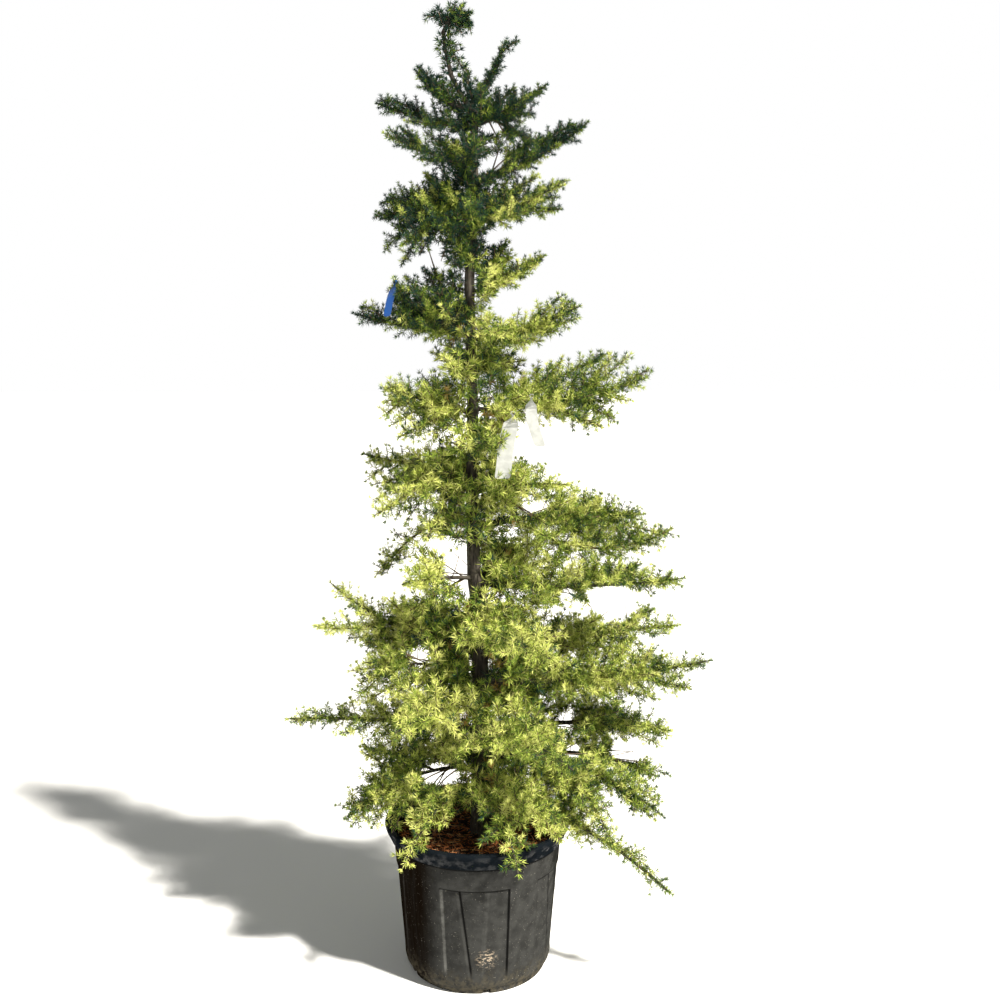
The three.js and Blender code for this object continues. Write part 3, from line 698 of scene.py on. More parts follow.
def pot_lines(made, across, back, height):
    """Painted shade in the V-grooves and along the recesses' sharp right edges, painted shadow under the
    band's edge and under the lip, and painted highlights on the recesses' lit slopes and ridges.
    """
    turn = made.node("Math", {0: across, 1: back * -1}, operation="ARCTAN2") * math.degrees(1)
    turn = made.node("Math", {0: turn, 1: PANEL_PITCH / 2, 2: -PANEL_PITCH / 2}, operation="WRAP")
    band_foot, fade = POT["band_foot"] * MM, PANEL_FADE[1] * MM
    under_lip = (POT["height"] - POT["lip_depth"]) * MM

    def line(top, foot, width):
        """A line from a turn at a recess's top to one at its foot, all in degrees."""
        middle = made.node("MapRange", {"Value": height, "From Min": band_foot, "From Max": fade,
                                        "To Min": top, "To Max": foot})
        off = made.node("Math", {0: turn - middle}, operation="ABSOLUTE")
        return made.between(off, width, 0.3 * width)

    in_height = made.within(height, (band_foot + 0.001, band_foot - 0.001), (fade - 0.02, fade + 0.01))
    in_panel = made.within(turn, (-27.2, -26.2), (22.3, 21.3))
    # painted shadow just under the edge where the smooth band steps in
    step = made.within(height, (band_foot - 0.004, band_foot - 0.001), (band_foot + 0.003, band_foot))
    # painted shadow under the lip, all round
    lip_shadow = made.within(height, (under_lip - 0.008, under_lip - 0.003), (under_lip + 0.003, under_lip))
    # painted shade in the V-groove and along the recess's sharp right edge
    groove_shade = made.stronger(line(-12.4, -5.2, 1.1), line(21.9, 21.9, 1.0)) * in_height
    dark = made.stronger(made.stronger(groove_shade, step * in_panel), lip_shadow)
    # painted highlights on the recess's left slope, its ridge and the groove's lit edge, which face the key
    # light
    slope_highlights = line(-25.4, -24.6, 1.5) + line(6.8, 3, 2.4) * 0.3 + line(-14.4, -7.2, 1.2) * 0.2
    return dark, slope_highlights * in_height * made.between(across, 0.12, 0.08)


def pot_finish():
    """Charcoal plastic: dust that gathers at the foot, pale specks, a left side painted dark brown as shade, a
    smear of dried mud, and painted shade and highlights at the recesses and under the lip.
    """
    made = Finish("pot_plastic", specular_ior_level=0.0, coat_roughness=0.14)
    under_lip = (POT["height"] - POT["lip_depth"]) * MM
    here = made.place()
    across, back, height = (made.node("SeparateXYZ", {0: here}, output=axis) for axis in range(3))
    # painted shade and painted highlights along the recesses, and painted shadow under the lip
    dark, pale = pot_lines(made, across, back, height)
    dust = made.noise(34, detail=6)
    streaks = made.noise(70, detail=3, stretch=(1, 1, 0.04))
    specks = made.between(made.noise(300, detail=2), 0.68, 0.74)
    wall = made.mix(made.between(dust, 0.3, 0.7), (0.022, 0.022, 0.021), (0.04, 0.04, 0.038))
    # painted shade: the left side, turned away from the key light, darkened to brown-black in streaks
    shaded_side = made.between(across, -0.09, -0.14) * (made.between(streaks, 0.35, 0.6) * 0.15 + 0.85)
    wall = made.mix(shaded_side, wall, (0.006, 0.004, 0.0025))
    foot = made.between(height + dust * 0.08, 0.12, 0.03)
    wall = made.mix(foot * made.between(made.noise(90, detail=6), 0.35, 0.65), wall, (0.085, 0.074, 0.052))
    smear = made.node("VectorMath", {0: here, 1: SMEAR}, output=1, operation="DISTANCE")
    crust = made.noise(110, detail=5, stretch=(1, 1, 2))
    smear = made.between(smear, 0.034, 0.006) * made.between(crust, 0.5, 0.6)
    wall = made.mix(smear, wall, (0.42, 0.34, 0.25))
    wall = made.mix(specks * 0.6, wall, (0.3, 0.28, 0.24))
    # painted highlights on the recesses' lit slopes and ridge, broken up by the dust
    wall = made.mix(pale * made.between(dust, 0.2, 0.7) * 0.6, wall, (0.15, 0.15, 0.14))
    # painted shade and shadow: the grooves, under the band's edge and under the lip darkened nearly to black
    wall = made.mix(dark * 0.85, wall, (0.002, 0.002, 0.002))
    lip = made.between(height, under_lip - 0.001, under_lip + 0.003)
    made.set("Base Color", made.mix(lip * 0.95, wall, (0.0045, 0.0065, 0.009)))
    made.set("Roughness", made.between(dust, 0.2, 0.8) * 0.14 + 0.46 - lip * 0.2)
    made.set("Coat Weight", lip * made.between(made.noise(40, detail=3), 0.45, 0.65) * 0.35)
    made.bump(made.noise(900, detail=2) + streaks * 0.6 + lip * made.noise(38, detail=3) * 9, 0.0006)
    return made.material


def mulch_finish(name, dark, light):
    """Shredded bark of one shade."""
    made = Finish("mulch_" + name, specular_ior_level=0.2)
    shade = made.noise(240, detail=4)
    made.set("Base Color", made.mix(made.between(shade, 0.3, 0.7), dark, light))
    made.roughen(shade, 0.2, 0.75)
    made.bump(shade, 0.001)
    return made.material


def label_finish(name, colour, roughness):
    """Coated paper or ribbon with faint creases."""
    made = Finish(name)
    creases = made.noise(60, detail=3)
    creased = tuple(0.8 * part for part in colour)
    made.set("Base Color", made.mix(made.between(creases, 0.3, 0.7), colour, creased))
    made.roughen(creases, 0.15, roughness)
    made.bump(creases, 0.0008)
    return made.material


# ------------------------------------------------------------------ meshes

random = np.random.default_rng(11)
GOLDEN_ANGLE = math.radians(137.5)


def put(name, data):
    """An object of the scene that holds a mesh, a lamp or a lens."""
    thing = bpy.data.objects.new(name, data)
    bpy.context.scene.collection.objects.link(thing)
    return thing


def add_piece(name, points, faces, finish, slot, stands_for=(), smooth=True):
    """Adds a mesh of points in millimetres and faces that have as many corners each."""
    mesh = bpy.data.meshes.new(name)
    mesh.vertices.add(len(points))
    mesh.vertices.foreach_set("co", np.ravel(points * MM))
    mesh.loops.add(faces.size)
    mesh.loops.foreach_set("vertex_index", np.ravel(faces))
    mesh.polygons.add(len(faces))
    mesh.polygons.foreach_set("loop_start", np.arange(0, faces.size, faces.shape[1]))
    mesh.polygons.foreach_set("use_smooth", np.full(len(faces), smooth))
    mesh.update(calc_edges=True)
    mesh.materials.append(finish)
    piece = put(name, mesh)
    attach(piece, "root")
    if stands_for:
        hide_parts(*stands_for)


def closed_tubes(rings):
    """Points and triangles of tubes from their rings of points: tube, ring, place on the ring, axis."""
    count, rows, sides = rings.shape[:3]
    ends = rings[:, [0, -1]].mean(axis=2)
    points = np.concatenate([rings.reshape(count, rows * sides, 3), ends], axis=1)
    row, place = (each.ravel() for each in np.meshgrid(range(rows - 1), range(sides), indexing="ij"))
    here, beside = row * sides + place, row * sides + (place + 1) % sides
    walls = [(here, beside, beside + sides), (here, beside + sides, here + sides)]
    place = np.arange(sides)
    beside = (place + 1) % sides
    last = (rows - 1) * sides
    foot, head = np.full(sides, rows * sides), np.full(sides, rows * sides + 1)
    caps = [(foot, beside, place), (head, last + place, last + beside)]
    faces = np.concatenate([np.stack(corners, axis=-1) for corners in walls + caps])
    faces = faces + np.arange(count)[:, None, None] * points.shape[1]
    return points.reshape(-1, 3), faces.reshape(-1, 3)


def rings_about(centres, radii, sides):
    """Rings square to runs of points, with a radius for each point or for each place on its ring."""
    along = np.gradient(centres, axis=1)
    across = np.cross(UP, along)
    level, length = (np.linalg.norm(each, axis=-1, keepdims=True) for each in (across, along))
    across = unit(np.where(level < UPRIGHT * length, ASIDE, across))
    over = np.cross(unit(along), across)
    angles = (np.arange(sides) * 2 * math.pi / sides)[:, None]
    ring = np.cos(angles) * across[:, :, None] + np.sin(angles) * over[:, :, None]
    radii = radii[..., None] if radii.ndim == 2 else radii
    return centres[:, :, None] + radii[..., None] * ring


def join(parts):
    """One set of points and faces out of several."""
    shifts = np.cumsum([0] + [len(points) for points, _ in parts[:-1]])
    return (np.concatenate([points for points, _ in parts]),
            np.concatenate([faces + shift for (_, faces), shift in zip(parts, shifts)]))


def smooth_noise(rows, columns, span):
    """Noise of about unit size on a grid, even over a span of rows, that joins up along the columns."""
    noise = random.normal(size=(rows + span - 1, columns))
    noise = np.apply_along_axis(np.convolve, 0, noise, np.hanning(span + 2)[1:-1], mode="valid")
    noise = noise + 0.5 * (np.roll(noise, 1, axis=1) + np.roll(noise, -1, axis=1))
    return noise / noise.std()


# ------------------------------------------------------------------ pot

POT_SEGMENTS = 480
SMEAR = (0.022, -0.19, 0.098)  # where mud has dried on the front of the pot, in metres
PANEL_PITCH = 72  # degrees from one fluted recess to the next
PANEL_FADE = (34, 62)  # heights between which the recesses run out towards the heel

# how far the wall stands out across a fluted recess: degrees from the front at the recess's top,
# degrees at its foot, and millimetres
FLUTES = [
    (-27.2, -27.2, 0),
    (-24.4, -24.4, -4),
    (-13.4, -6.2, -2.8),
    (-12.4, -5.2, -6),
    (-11.4, -4.2, -3.4),
    (5.2, 1.4, -3.4),
    (7.2, 3.2, -1.8),
    (9.2, 5.2, -3),
    (21.4, 21.4, -4.2),
    (22.3, 22.3, 0),
]

# the outside from the foot up and over the lip: distances out, up or down from the sizes of the pot
FOOT_ROLL = [(-2, 0), (1, 0.6), (2.5, 3), (3, 5.4)]  # out from the foot, and height
UNDER_ROLL = [(0, -1.5), (3.5, -1), (6.5, 0.5), (8.5, 4)]  # out from the shoulder, and up from under the lip
LIP_FACE = [(12, 10), (8, 18), (4, 26), (1.2, 33)]  # in from the lip, and up from under it
LIP_TOP = [(0, 7), (1.2, 3), (4.5, 0.6), (9, 0)]  # in from the lip, and down from the top
MOUTH_ROLL = [(5, 0.5), (1.5, 2.5), (0, 6), (-2, 18)]  # out from the mouth, and down from the top
NOTCH_TURN, NOTCH_HALF, NOTCH_DEPTH = 7, 3.2, 16  # degrees from a recess's middle, degrees, millimetres


def profile_radius(heights, profile):
    """Radius at heights on a profile of radius and height pairs that climbs."""
    return np.interp(heights, [height for _, height in profile], [radius for radius, _ in profile])


def fold(turns):
    """Turns from the middle of the nearest recess, in degrees."""
    return (turns + PANEL_PITCH / 2) % PANEL_PITCH - PANEL_PITCH / 2


def flute_depth(turns, heights):
    """How far the outside wall stands in, in millimetres, on a grid of heights and turns from the front."""
    depth = np.zeros((len(heights), len(turns)))
    for row, height in enumerate(heights):
        share = np.clip((POT["band_foot"] - height) / (POT["band_foot"] - PANEL_FADE[1]), 0, 1)
        places = [blend(top, foot, share) for top, foot, _ in FLUTES]
        depth[row] = np.interp(fold(turns), places, [out for _, _, out in FLUTES])
    runs_out = np.clip((heights - PANEL_FADE[0]) / (PANEL_FADE[1] - PANEL_FADE[0]), 0, 1)[:, None]
    under_band = (heights < POT["band_foot"])[:, None]
    return np.where(under_band, blend(-POT["band_step"], depth, runs_out**2 * (3 - 2 * runs_out)), 0)


def add_pot():
    heel, shoulder, foot_out = POT["heel_radius"], POT["shoulder_radius"], POT["foot_radius"]
    band, lip, mouth, top = POT["band_foot"], POT["lip_radius"], POT["mouth_radius"], POT["height"]
    under_lip = top - POT["lip_depth"]
    foot = [(foot_out + out, height) for out, height in FOOT_ROLL]
    foot += [(foot_out + 4, POT["foot_height"] - 1), (heel - 9, 18), (heel - 5.5, 23), (heel - 3.6, 30)]
    wall = [(heel, POT["heel_height"]), (shoulder, under_lip)]
    levels = [*np.linspace(36, band - 0.6, 44), band + 0.4, band + 3]
    levels += [*np.linspace(band + 12, under_lip - 4, 5)]
    walls = [(float(profile_radius(level, wall)), level) for level in levels]
    rolled = [(shoulder + out, under_lip + rise) for out, rise in UNDER_ROLL]
    rolled += [(lip - back, under_lip + rise) for back, rise in LIP_FACE]
    rolled += [(lip - back, top - drop) for back, drop in LIP_TOP]
    rolled += [(mouth + out, top - drop) for out, drop in MOUTH_ROLL]
    rolled += [(shoulder - POT["wall"], under_lip)]
    inside = [(heel - POT["wall"] - POT["band_step"], POT["heel_height"])]
    inside += [(foot_out - POT["wall"], POT["floor"])]
    profile = np.array(foot + walls + rolled + inside)
    turns = np.arange(POT_SEGMENTS) * 360 / POT_SEGMENTS
    radii = np.repeat(profile[:, :1], POT_SEGMENTS, axis=1)
    outside = slice(len(foot), len(foot) + len(walls))
    radii[outside] += flute_depth(turns, profile[outside, 1])
    radii[:len(FOOT_ROLL), np.abs(fold(turns - NOTCH_TURN)) < NOTCH_HALF] -= NOTCH_DEPTH
    angles = np.radians(turns)
    rings = np.stack([radii * np.sin(angles), -radii * np.cos(angles),
                      np.repeat(profile[:, 1:], POT_SEGMENTS, axis=1)], axis=-1)
    add_piece("pot_wall", *closed_tubes(rings[None]), pot_finish(), "pot", ["pot"])


# ------------------------------------------------------------------ growing medium

MULCH_SHREDS = 2400
MULCH_REACH = (203, 206)  # out to the middles of shreds, and to their ends
MULCH_LENGTH = (10, 42)
MULCH_RISE = (0.5, 9)  # how high over the filling a shred lies
MULCH_PITCH = 0.16
MULCH_BEND = 0.12
MULCH_THICK = (0.7, 2.1)
SHRED_PLACES = np.array([-0.5, -0.2, 0.2, 0.5])  # sections of a shred along its length, from its middle
SHRED_GIRTHS = np.array([0.4, 1, 0.9, 0.3])  # and how thick it is there
MULCH_SHARES = (0.42, 0.42, 0.16)  # of the dark, the red and the tan shreds


def add_mulch():
    """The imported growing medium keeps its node, under a loose layer of shredded bark."""
    finishes = [mulch_finish("dark", (0.02, 0.011, 0.006), (0.06, 0.028, 0.013)),
                mulch_finish("red", (0.2, 0.065, 0.02), (0.55, 0.2, 0.07)),
                mulch_finish("tan", (0.4, 0.2, 0.09), (0.7, 0.42, 0.22))]
    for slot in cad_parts["growing_medium"].material_slots:
        slot.material = finishes[0]
    out = MULCH_REACH[0] * np.sqrt(random.uniform(0, 1, MULCH_SHREDS))
    bearing = random.uniform(0, 2 * math.pi, MULCH_SHREDS)
    length = random.uniform(*MULCH_LENGTH, MULCH_SHREDS)
    yaw = random.uniform(0, 2 * math.pi, MULCH_SHREDS)
    pitch = random.normal(0, MULCH_PITCH, MULCH_SHREDS)
    middle = np.stack([out * np.cos(bearing), out * np.sin(bearing),
                       SOIL_LEVEL + random.uniform(*MULCH_RISE, MULCH_SHREDS)], axis=-1)
    along = np.stack([np.cos(yaw) * np.cos(pitch), np.sin(yaw) * np.cos(pitch), np.sin(pitch)], axis=-1)
    bend = random.normal(0, MULCH_BEND, (MULCH_SHREDS, 3)) * length[:, None]
    share = SHRED_PLACES[:, None]
    centres = middle[:, None] + along[:, None] * length[:, None, None] * share
    centres = centres + bend[:, None] * (0.25 - share**2)
    level = np.hypot(centres[..., 0], centres[..., 1])
    centres[..., :2] *= np.minimum(1, MULCH_REACH[1] / level)[..., None]
    radii = random.uniform(*MULCH_THICK, MULCH_SHREDS)[:, None] * SHRED_GIRTHS
    shade = random.choice(3, MULCH_SHREDS, p=MULCH_SHARES)
    for index, finish in enumerate(finishes):
        chosen = shade == index
        points, faces = closed_tubes(rings_about(centres[chosen], radii[chosen], 3))
        add_piece(finish.name, points, faces, finish, "bark_mulch", smooth=False)


# ------------------------------------------------------------------ trunk and boughs

TRUNK_RINGS = 330
TRUNK_PLACES = 32
FISSURE_DEPTH = ((340, 1200, 2290), (0.9, 0.6, 0.15))  # heights, and how deep the bark's fissures are there
FISSURE_SPAN = 7  # rings over which they are even
ROOT_FLARE = (26, 0.16)  # height over which the roots' lobes fade, and their depth over the trunk's radius
SWELLING = (0.22, 3, 0.7)  # over the trunk's radius, how far above a bough's root, and to how many radians
SWELLING_REACH = ((400, 2200), (15, 6))  # heights, and how far up and down the trunk it goes there
BOUGH_RINGS, BOUGH_PLACES = 26, 9
BOUGH_TIP = 1.5  # radius
BOUGH_ROUGH = 0.05  # depth of the bark's relief over the radius at the root


def add_trunk(paths, finish):
    """The trunk's own mesh: flared at the roots, fissured, and swollen where each bough leaves it."""
    heights = np.linspace(TRUNK[0, 0], TRUNK[-1, 0], TRUNK_RINGS)
    x, y, radius = trunk_at(heights)
    angles = np.arange(TRUNK_PLACES) * 2 * math.pi / TRUNK_PLACES
    relief = smooth_noise(TRUNK_RINGS, TRUNK_PLACES, FISSURE_SPAN)
    fissures = relief * np.interp(heights, *FISSURE_DEPTH)[:, None]
    fade, flare = ROOT_FLARE
    roots = np.exp(-(heights - SOIL_LEVEL) / fade)[:, None]
    lobes = radius[:, None] * roots * flare * np.cos(3 * angles + 1) * np.cos(2 * angles)
    size, above, spread = SWELLING
    swelling = np.zeros_like(fissures)
    for path in paths:
        level, bearing = path.start[2], math.atan2(path.tip[1] - path.start[1], path.tip[0] - path.start[0])
        off = np.mod(angles - bearing + math.pi, 2 * math.pi) - math.pi
        reach = np.interp(level, *SWELLING_REACH)
        swelling += size * np.exp(-((heights - level - above) / reach)[:, None] ** 2 - (off / spread) ** 2)
    radii = radius[:, None] * (1 + swelling) + fissures + lobes
    centres = np.stack([x, y, heights], axis=-1)
    ring = np.stack([np.cos(angles), np.sin(angles), np.zeros(TRUNK_PLACES)], axis=-1)
    points, faces = closed_tubes((centres[:, None] + radii[..., None] * ring)[None])
    add_piece("trunk_bark", points, faces, finish, "bark", ["trunk"])


def places_on(starts, crests, ends, shares):
    """Places at shares of the length of many curved axes, and the way along there."""
    t = shares[..., None]
    places = (1 - t) ** 2 * starts + 2 * (1 - t) * t * crests + t**2 * ends
    return places, unit((1 - t) * (crests - starts) + t * (ends - crests))


def add_boughs(limbs, masses, finish):
    """The limbs from inside the trunk to the tips of their stems, in one piece."""
    thick = {limb["name"]: limb["thick"] for limb in limbs}
    shares = np.linspace(0, STEM_END, BOUGH_RINGS)
    centres, radii = [], []
    for mass in masses:
        path = mass.stems[0][0]
        root = thick.get(mass.name, STEM_RADIUS * 1.25)
        centres.append(path.at(shares))
        relief = smooth_noise(BOUGH_RINGS, BOUGH_PLACES, 3) * BOUGH_ROUGH * root
        radii.append(blend(root, BOUGH_TIP, shares**0.8)[:, None] + relief)
    points, faces = closed_tubes(rings_about(np.array(centres), np.array(radii), BOUGH_PLACES))
    add_piece("boughs_bark", points, faces, finish, "bark", ["bough_" + limb["name"] for limb in limbs])


# ------------------------------------------------------------------ needles

# tint, plain colour, roughness, and its share of the sprays low in the crown, high in it, near the trunk
# and at the far tips; sunlit is painted sunlight on the needles' green, shade is painted shade, and deep
# and blue are darker greens that stand partly for shade
TINTS = [
    ("sunlit", (0.62, 0.64, 0.19), 0.5, 0.24, 0.0, 0.05, 0.06),
    ("fresh", (0.4, 0.46, 0.085), 0.5, 0.34, 0.03, 0.16, 0.2),
    ("leaf", (0.16, 0.23, 0.028), 0.52, 0.28, 0.18, 0.34, 0.38),
    ("deep", (0.038, 0.078, 0.01), 0.55, 0.16, 0.32, 0.34, 0.36),
    ("blue", (0.012, 0.045, 0.03), 0.5, 0.0, 0.26, 0.0, 0.0),
    ("shade", (0.006, 0.02, 0.012), 0.6, 0.0, 0.21, 0.1, 0.0),
    ("dry", (0.42, 0.28, 0.08), 0.7, 0.0, 0.0, 0.08, 0.0),
]
TOP_TINTS = ("deep", "blue", "shade")
PIECE_NEEDLES = 95000  # most needles in one piece

NEEDLE_LENGTH = ((1350, 1850), (20, 14))  # heights, and the length of a needle there
NEEDLE_WIDTH = ((1350, 1850), (1.88, 1.6))  # the same, and its width
NEEDLE_SIZES = (0.75, 1.12)  # drawn length over the usual one
NEEDLE_BELLY = 0.36  # share of its length at which a needle is widest
NEEDLE_BOW = 0.25  # how far its belly stands out of its straight line, over its width
BLADE_SPREAD = 0.6  # how far needles are twisted off the way along their shoot
TINT_SHIFTS = (0.25, 0.5, 0.25)  # needles one tint brighter than their spray's, of the same, one deeper: painted light and shade

ROSETTE_PITCH = 0.425  # distance along the wood from one rosette of needles to the next, over their length
ROSETTE_LEAD = 0.9  # where in its share of the wood a rosette stands
INNER = ((0.2, 0.7), (2.1, 0.97), (1.5, 1))  # places out of the crown, the distance there, the needles' size
TOP_PITCH = ((1400, 1900), (1, 0.74))  # heights, and the distance there over the usual one
ROSETTE_NEEDLES = 10
ROSETTE_LEAN = (14, 82)  # degrees from a rosette's axis to its innermost and outermost needles
LEAN_SPREAD = 0.12  # in radians
TIP_LEAN = 0.68  # lean in the rosette that ends a shoot, over the lean in others
ROSETTE_TURN = (0.3, 0.8, 0.15)  # a rosette's part along the shoot at the root, more at the tip, and upwards

# the wood that carries them: radii
MAIN_WOOD, TWIG_WOOD, SIDE_WOOD, FINE_WOOD, STEM_WOOD = 1.6, 2.2, 1.3, 1.0, 0.5
TWIG_TAPER = 0.4  # share of its radius that a twig loses by its tip
STEM_TAPER = (1.125, 0.375)  # radius of a stem at its root and tip, over its usual one
INFILL_RADIUS = 2.1

SHOOT_SAG = 0.05  # how far the middle of a shoot hangs, over its length
SHORT_OF_TIP = 10  # from the end of a shoot's wood to the tip of the solid's
BRANCHLET_PITCH = 17
BRANCHLET_PART = 0.66  # share of a shoot that carries branchlets
BRANCHLET_PLACES = (0.14, 0.8)  # from where to where
BRANCHLET_LEAN = math.radians(50)
BRANCHLET_LIFT = 0.2
BRANCHLET_SAG = 0.06
BRANCHLET_ROOM = 4  # from a branchlet's tip to the girth of its shoot
BRANCHLET_SIZES = (0.85, 1.2)
BRANCHLET_RANGE = (14, 46)
OWN_TINT = 0.6  # share of the branchlets that don't take their shoot's tint

# a stem's own side shoots
STEM_BARE = 30  # most of a stem that is bare at its root
SIDE_PITCH = 8.5
SIDE_LEAN = math.radians(62)
SIDE_RISE = 0.22
SIDE_SHARES = (0.8, 0.1)  # length over the bough's width, at the stem's root and tip
SIDE_SIZES = (0.55, 1.05)
SIDE_UNDER = 0.4  # share of its length that one at the stem's underside loses
SIDE_RANGE = (8, 130)
SIDE_GIRTH = 0.32  # girth of a side shoot with its branchlets over its length
SIDE_BRANCHES = 42  # length over which it has branchlets

POT_ROOM = 8  # room left between wood and the pot or its filling
TRUNK_SHOOTS = (450, 2290)  # heights between which the trunk carries short shoots of its own
TRUNK_SHOOTS_ALL = 420
TRUNK_SHOOT_SIZES = (0.6, 1.1)
TRUNK_SHOOT_LIFT = (0.1, 0.9)
TRUNK_SHOOT_GIRTH = 0.36
# heights, and how densely they stand there
TRUNK_SHOOT_CROWDING = ((450, 1080, 1100, 1200, 1220, 1500, 1900, 2100, 2290),
                        (1, 1, 2.2, 2.2, 1, 1, 2.4, 2.2, 2.6))
# heights, and how long they are there
TRUNK_SHOOT_LENGTH = ((450, 800, 1500, 2080, 2130, 2200, 2250, 2290),
                      (50, 88, 74, 46, 20, 12, 9, 9))
CROWN_REACH = ((400, 800, 1500, 2200), (330, 430, 220, 110))  # heights, and how far the crown reaches there

# where the tints of the crown change over: painted shade near the trunk, and painted shade in part over the
# top, on its left side and at the far tips
NEAR_FADE = 2.2  # how fast the tints near the trunk give way outwards
TIPS_OUT = (0.8, 0.3)  # place out of the crown where those of the far tips set in, and over what share
TINT_WANDER = 40  # how far the heights wander
TOP_DIVIDE = (0.2, 1650)  # how the line between the crown's two sides leans, and where it meets the middle
TOP_RIGHT, TOP_LEFT = (1660, 400), (1480, 180)  # height where the top's tints set in, and over what height
TOP_HEAD = (1.6, 2060, 100)  # more of them in the head: how much, from what height, and over what height

# places where the crown lets the backdrop or the trunk show from the front:
# sideways, height, half the width and half the height of each, at the trunk's distance
OPENINGS = np.array([
    (-90, 493, 45, 24), (-205, 990, 18, 18), (-99, 1091, 26, 6), (-54, 1024, 22, 30), (-143, 801, 20, 16),
    (142, 1179, 30, 8), (225, 965, 10, 10), (220, 630, 16, 12),
    (241, 551, 16, 9), (376, 547, 31, 19), (-98, 1777, 17, 16), (338, 942, 50, 38),
    (-17, 1017, 15, 66), (5, 772, 12, 36), (-14, 1716, 12, 38),
    (38, 2002, 24, 13), (38, 2084, 20, 10), (70, 1675, 24, 34), (51, 1836, 21, 12),
])
OPENING_ROOM = 8  # from the middle of a shoot to the edge of an opening
EYE = (0, -2808, 1563)  # where the front is seen from


class Sprays:
    """Curved axes that carry rosettes of needles, with the wood's radius and the tint."""

    def __init__(self):
        self.batches = []

    def add(self, starts, crests, ends, wood, tints):
        columns = [np.broadcast_to(value, len(starts))[:, None] for value in (wood, tints)]
        rows = np.concatenate([starts, crests, ends, *columns], axis=1)
        self.batches.append(rows[~(in_pot(ends) | in_pot(crests))])

    def all(self):
        return np.concatenate(self.batches)


def in_pot(points):
    out, height = np.hypot(points[:, 0], points[:, 1]), points[:, 2]
    over_wall = (out > POT["mouth_radius"] - POT_ROOM) & (out < POT["lip_radius"] + POT_ROOM)
    in_wall = over_wall & (height < POT["height"] + POT_ROOM)
    return in_wall | ((out < POT["mouth_radius"]) & (height < SOIL_LEVEL + POT_ROOM))


def outwardness(places):
    """How far places stand out of the crown: 0 at the trunk, 1 at about the tips."""
    x, y, _ = trunk_at(places[:, 2])
    return np.hypot(places[:, 0] - x, places[:, 1] - y) / np.interp(places[:, 2], *CROWN_REACH)


def around(starts, crests, ends, counts, first, last, lead=0.5):
    """Places along curved axes, with the way along each and a way out that turns by the golden angle."""
    owner = np.repeat(np.arange(len(counts)), counts)
    order = np.arange(len(owner)) - np.repeat(np.cumsum(counts) - counts, counts)
    share = blend(first, last, (order + lead) / counts[owner])
    places, along = places_on(starts[owner], crests[owner], ends[owner], share)
    across, over = square_to(along)
    turn = order * GOLDEN_ANGLE + random.uniform(0, 2 * math.pi, len(counts))[owner]
    out = np.cos(turn)[:, None] * across + np.sin(turn)[:, None] * over
    return owner, share, places, along, out


def square_to(ways):
    """Two ways square to each way and to each other."""
    level = np.abs(ways[..., 2:]) < 0.9
    across = unit(np.cross(ways, np.where(level, UP, ASIDE)))
    return across, np.cross(ways, across)


def is_open(roots, tips):
    """Whether a shoot, seen from the front, would stand in one of the crown's openings."""
    blocked = np.zeros(len(roots), bool)
    for share in (0.35, 0.7, 1):
        points = blend(roots, tips, share)
        nearer = EYE[1] / (EYE[1] - points[:, 1])
        aside = points[:, 0] * nearer
        height = EYE[2] + (points[:, 2] - EYE[2]) * nearer
        x, z, wide, high = OPENINGS.T
        over_wide = (aside[:, None] - x) / (wide + OPENING_ROOM)
        over_high = (height[:, None] - z) / (high + OPENING_ROOM)
        blocked |= (over_wide**2 + over_high**2 < 1).any(axis=1)
    return blocked


def deal_tints(places):
    """A tint for each spray by where it grows: deeper and bluer up the crown and sooner on its left, partly
    as painted shade; darker near the trunk as painted shade of the crown's inside, with some dry needles
    there;
    darker at the far tips, partly as painted shade.
    """
    outer = outwardness(places)
    # painted shade: darker tints near the trunk, over the top and its left, and at the far tips
    inner = np.clip(1.0 - NEAR_FADE * outer, 0, 1)[:, None]
    far = np.clip((outer - TIPS_OUT[0]) / TIPS_OUT[1], 0, 1)[:, None]
    height = places[:, 2] + random.normal(0, TINT_WANDER, len(places))
    right = places[:, 0] > TOP_DIVIDE[0] * (height - TOP_DIVIDE[1])
    foot, over = (np.where(right, *pair) for pair in zip(TOP_RIGHT, TOP_LEFT))
    more, head, head_over = TOP_HEAD
    top = np.clip((height - foot) / over, 0, 1)
    top = (top + more * np.clip((height - head) / head_over, 0, 1))[:, None]
    low, high, near, tips = (np.array([tint[column] for tint in TINTS]) for column in (3, 4, 5, 6))
    weights = blend(blend(low, tips, far), high, top)
    weights = np.maximum(blend(weights, near, inner * np.maximum(1 - 0.9 * top, 0)), 0)
    bounds = np.cumsum(weights, axis=1)
    return (random.uniform(0, 1, len(places))[:, None] * bounds[:, -1:] > bounds).sum(axis=1)


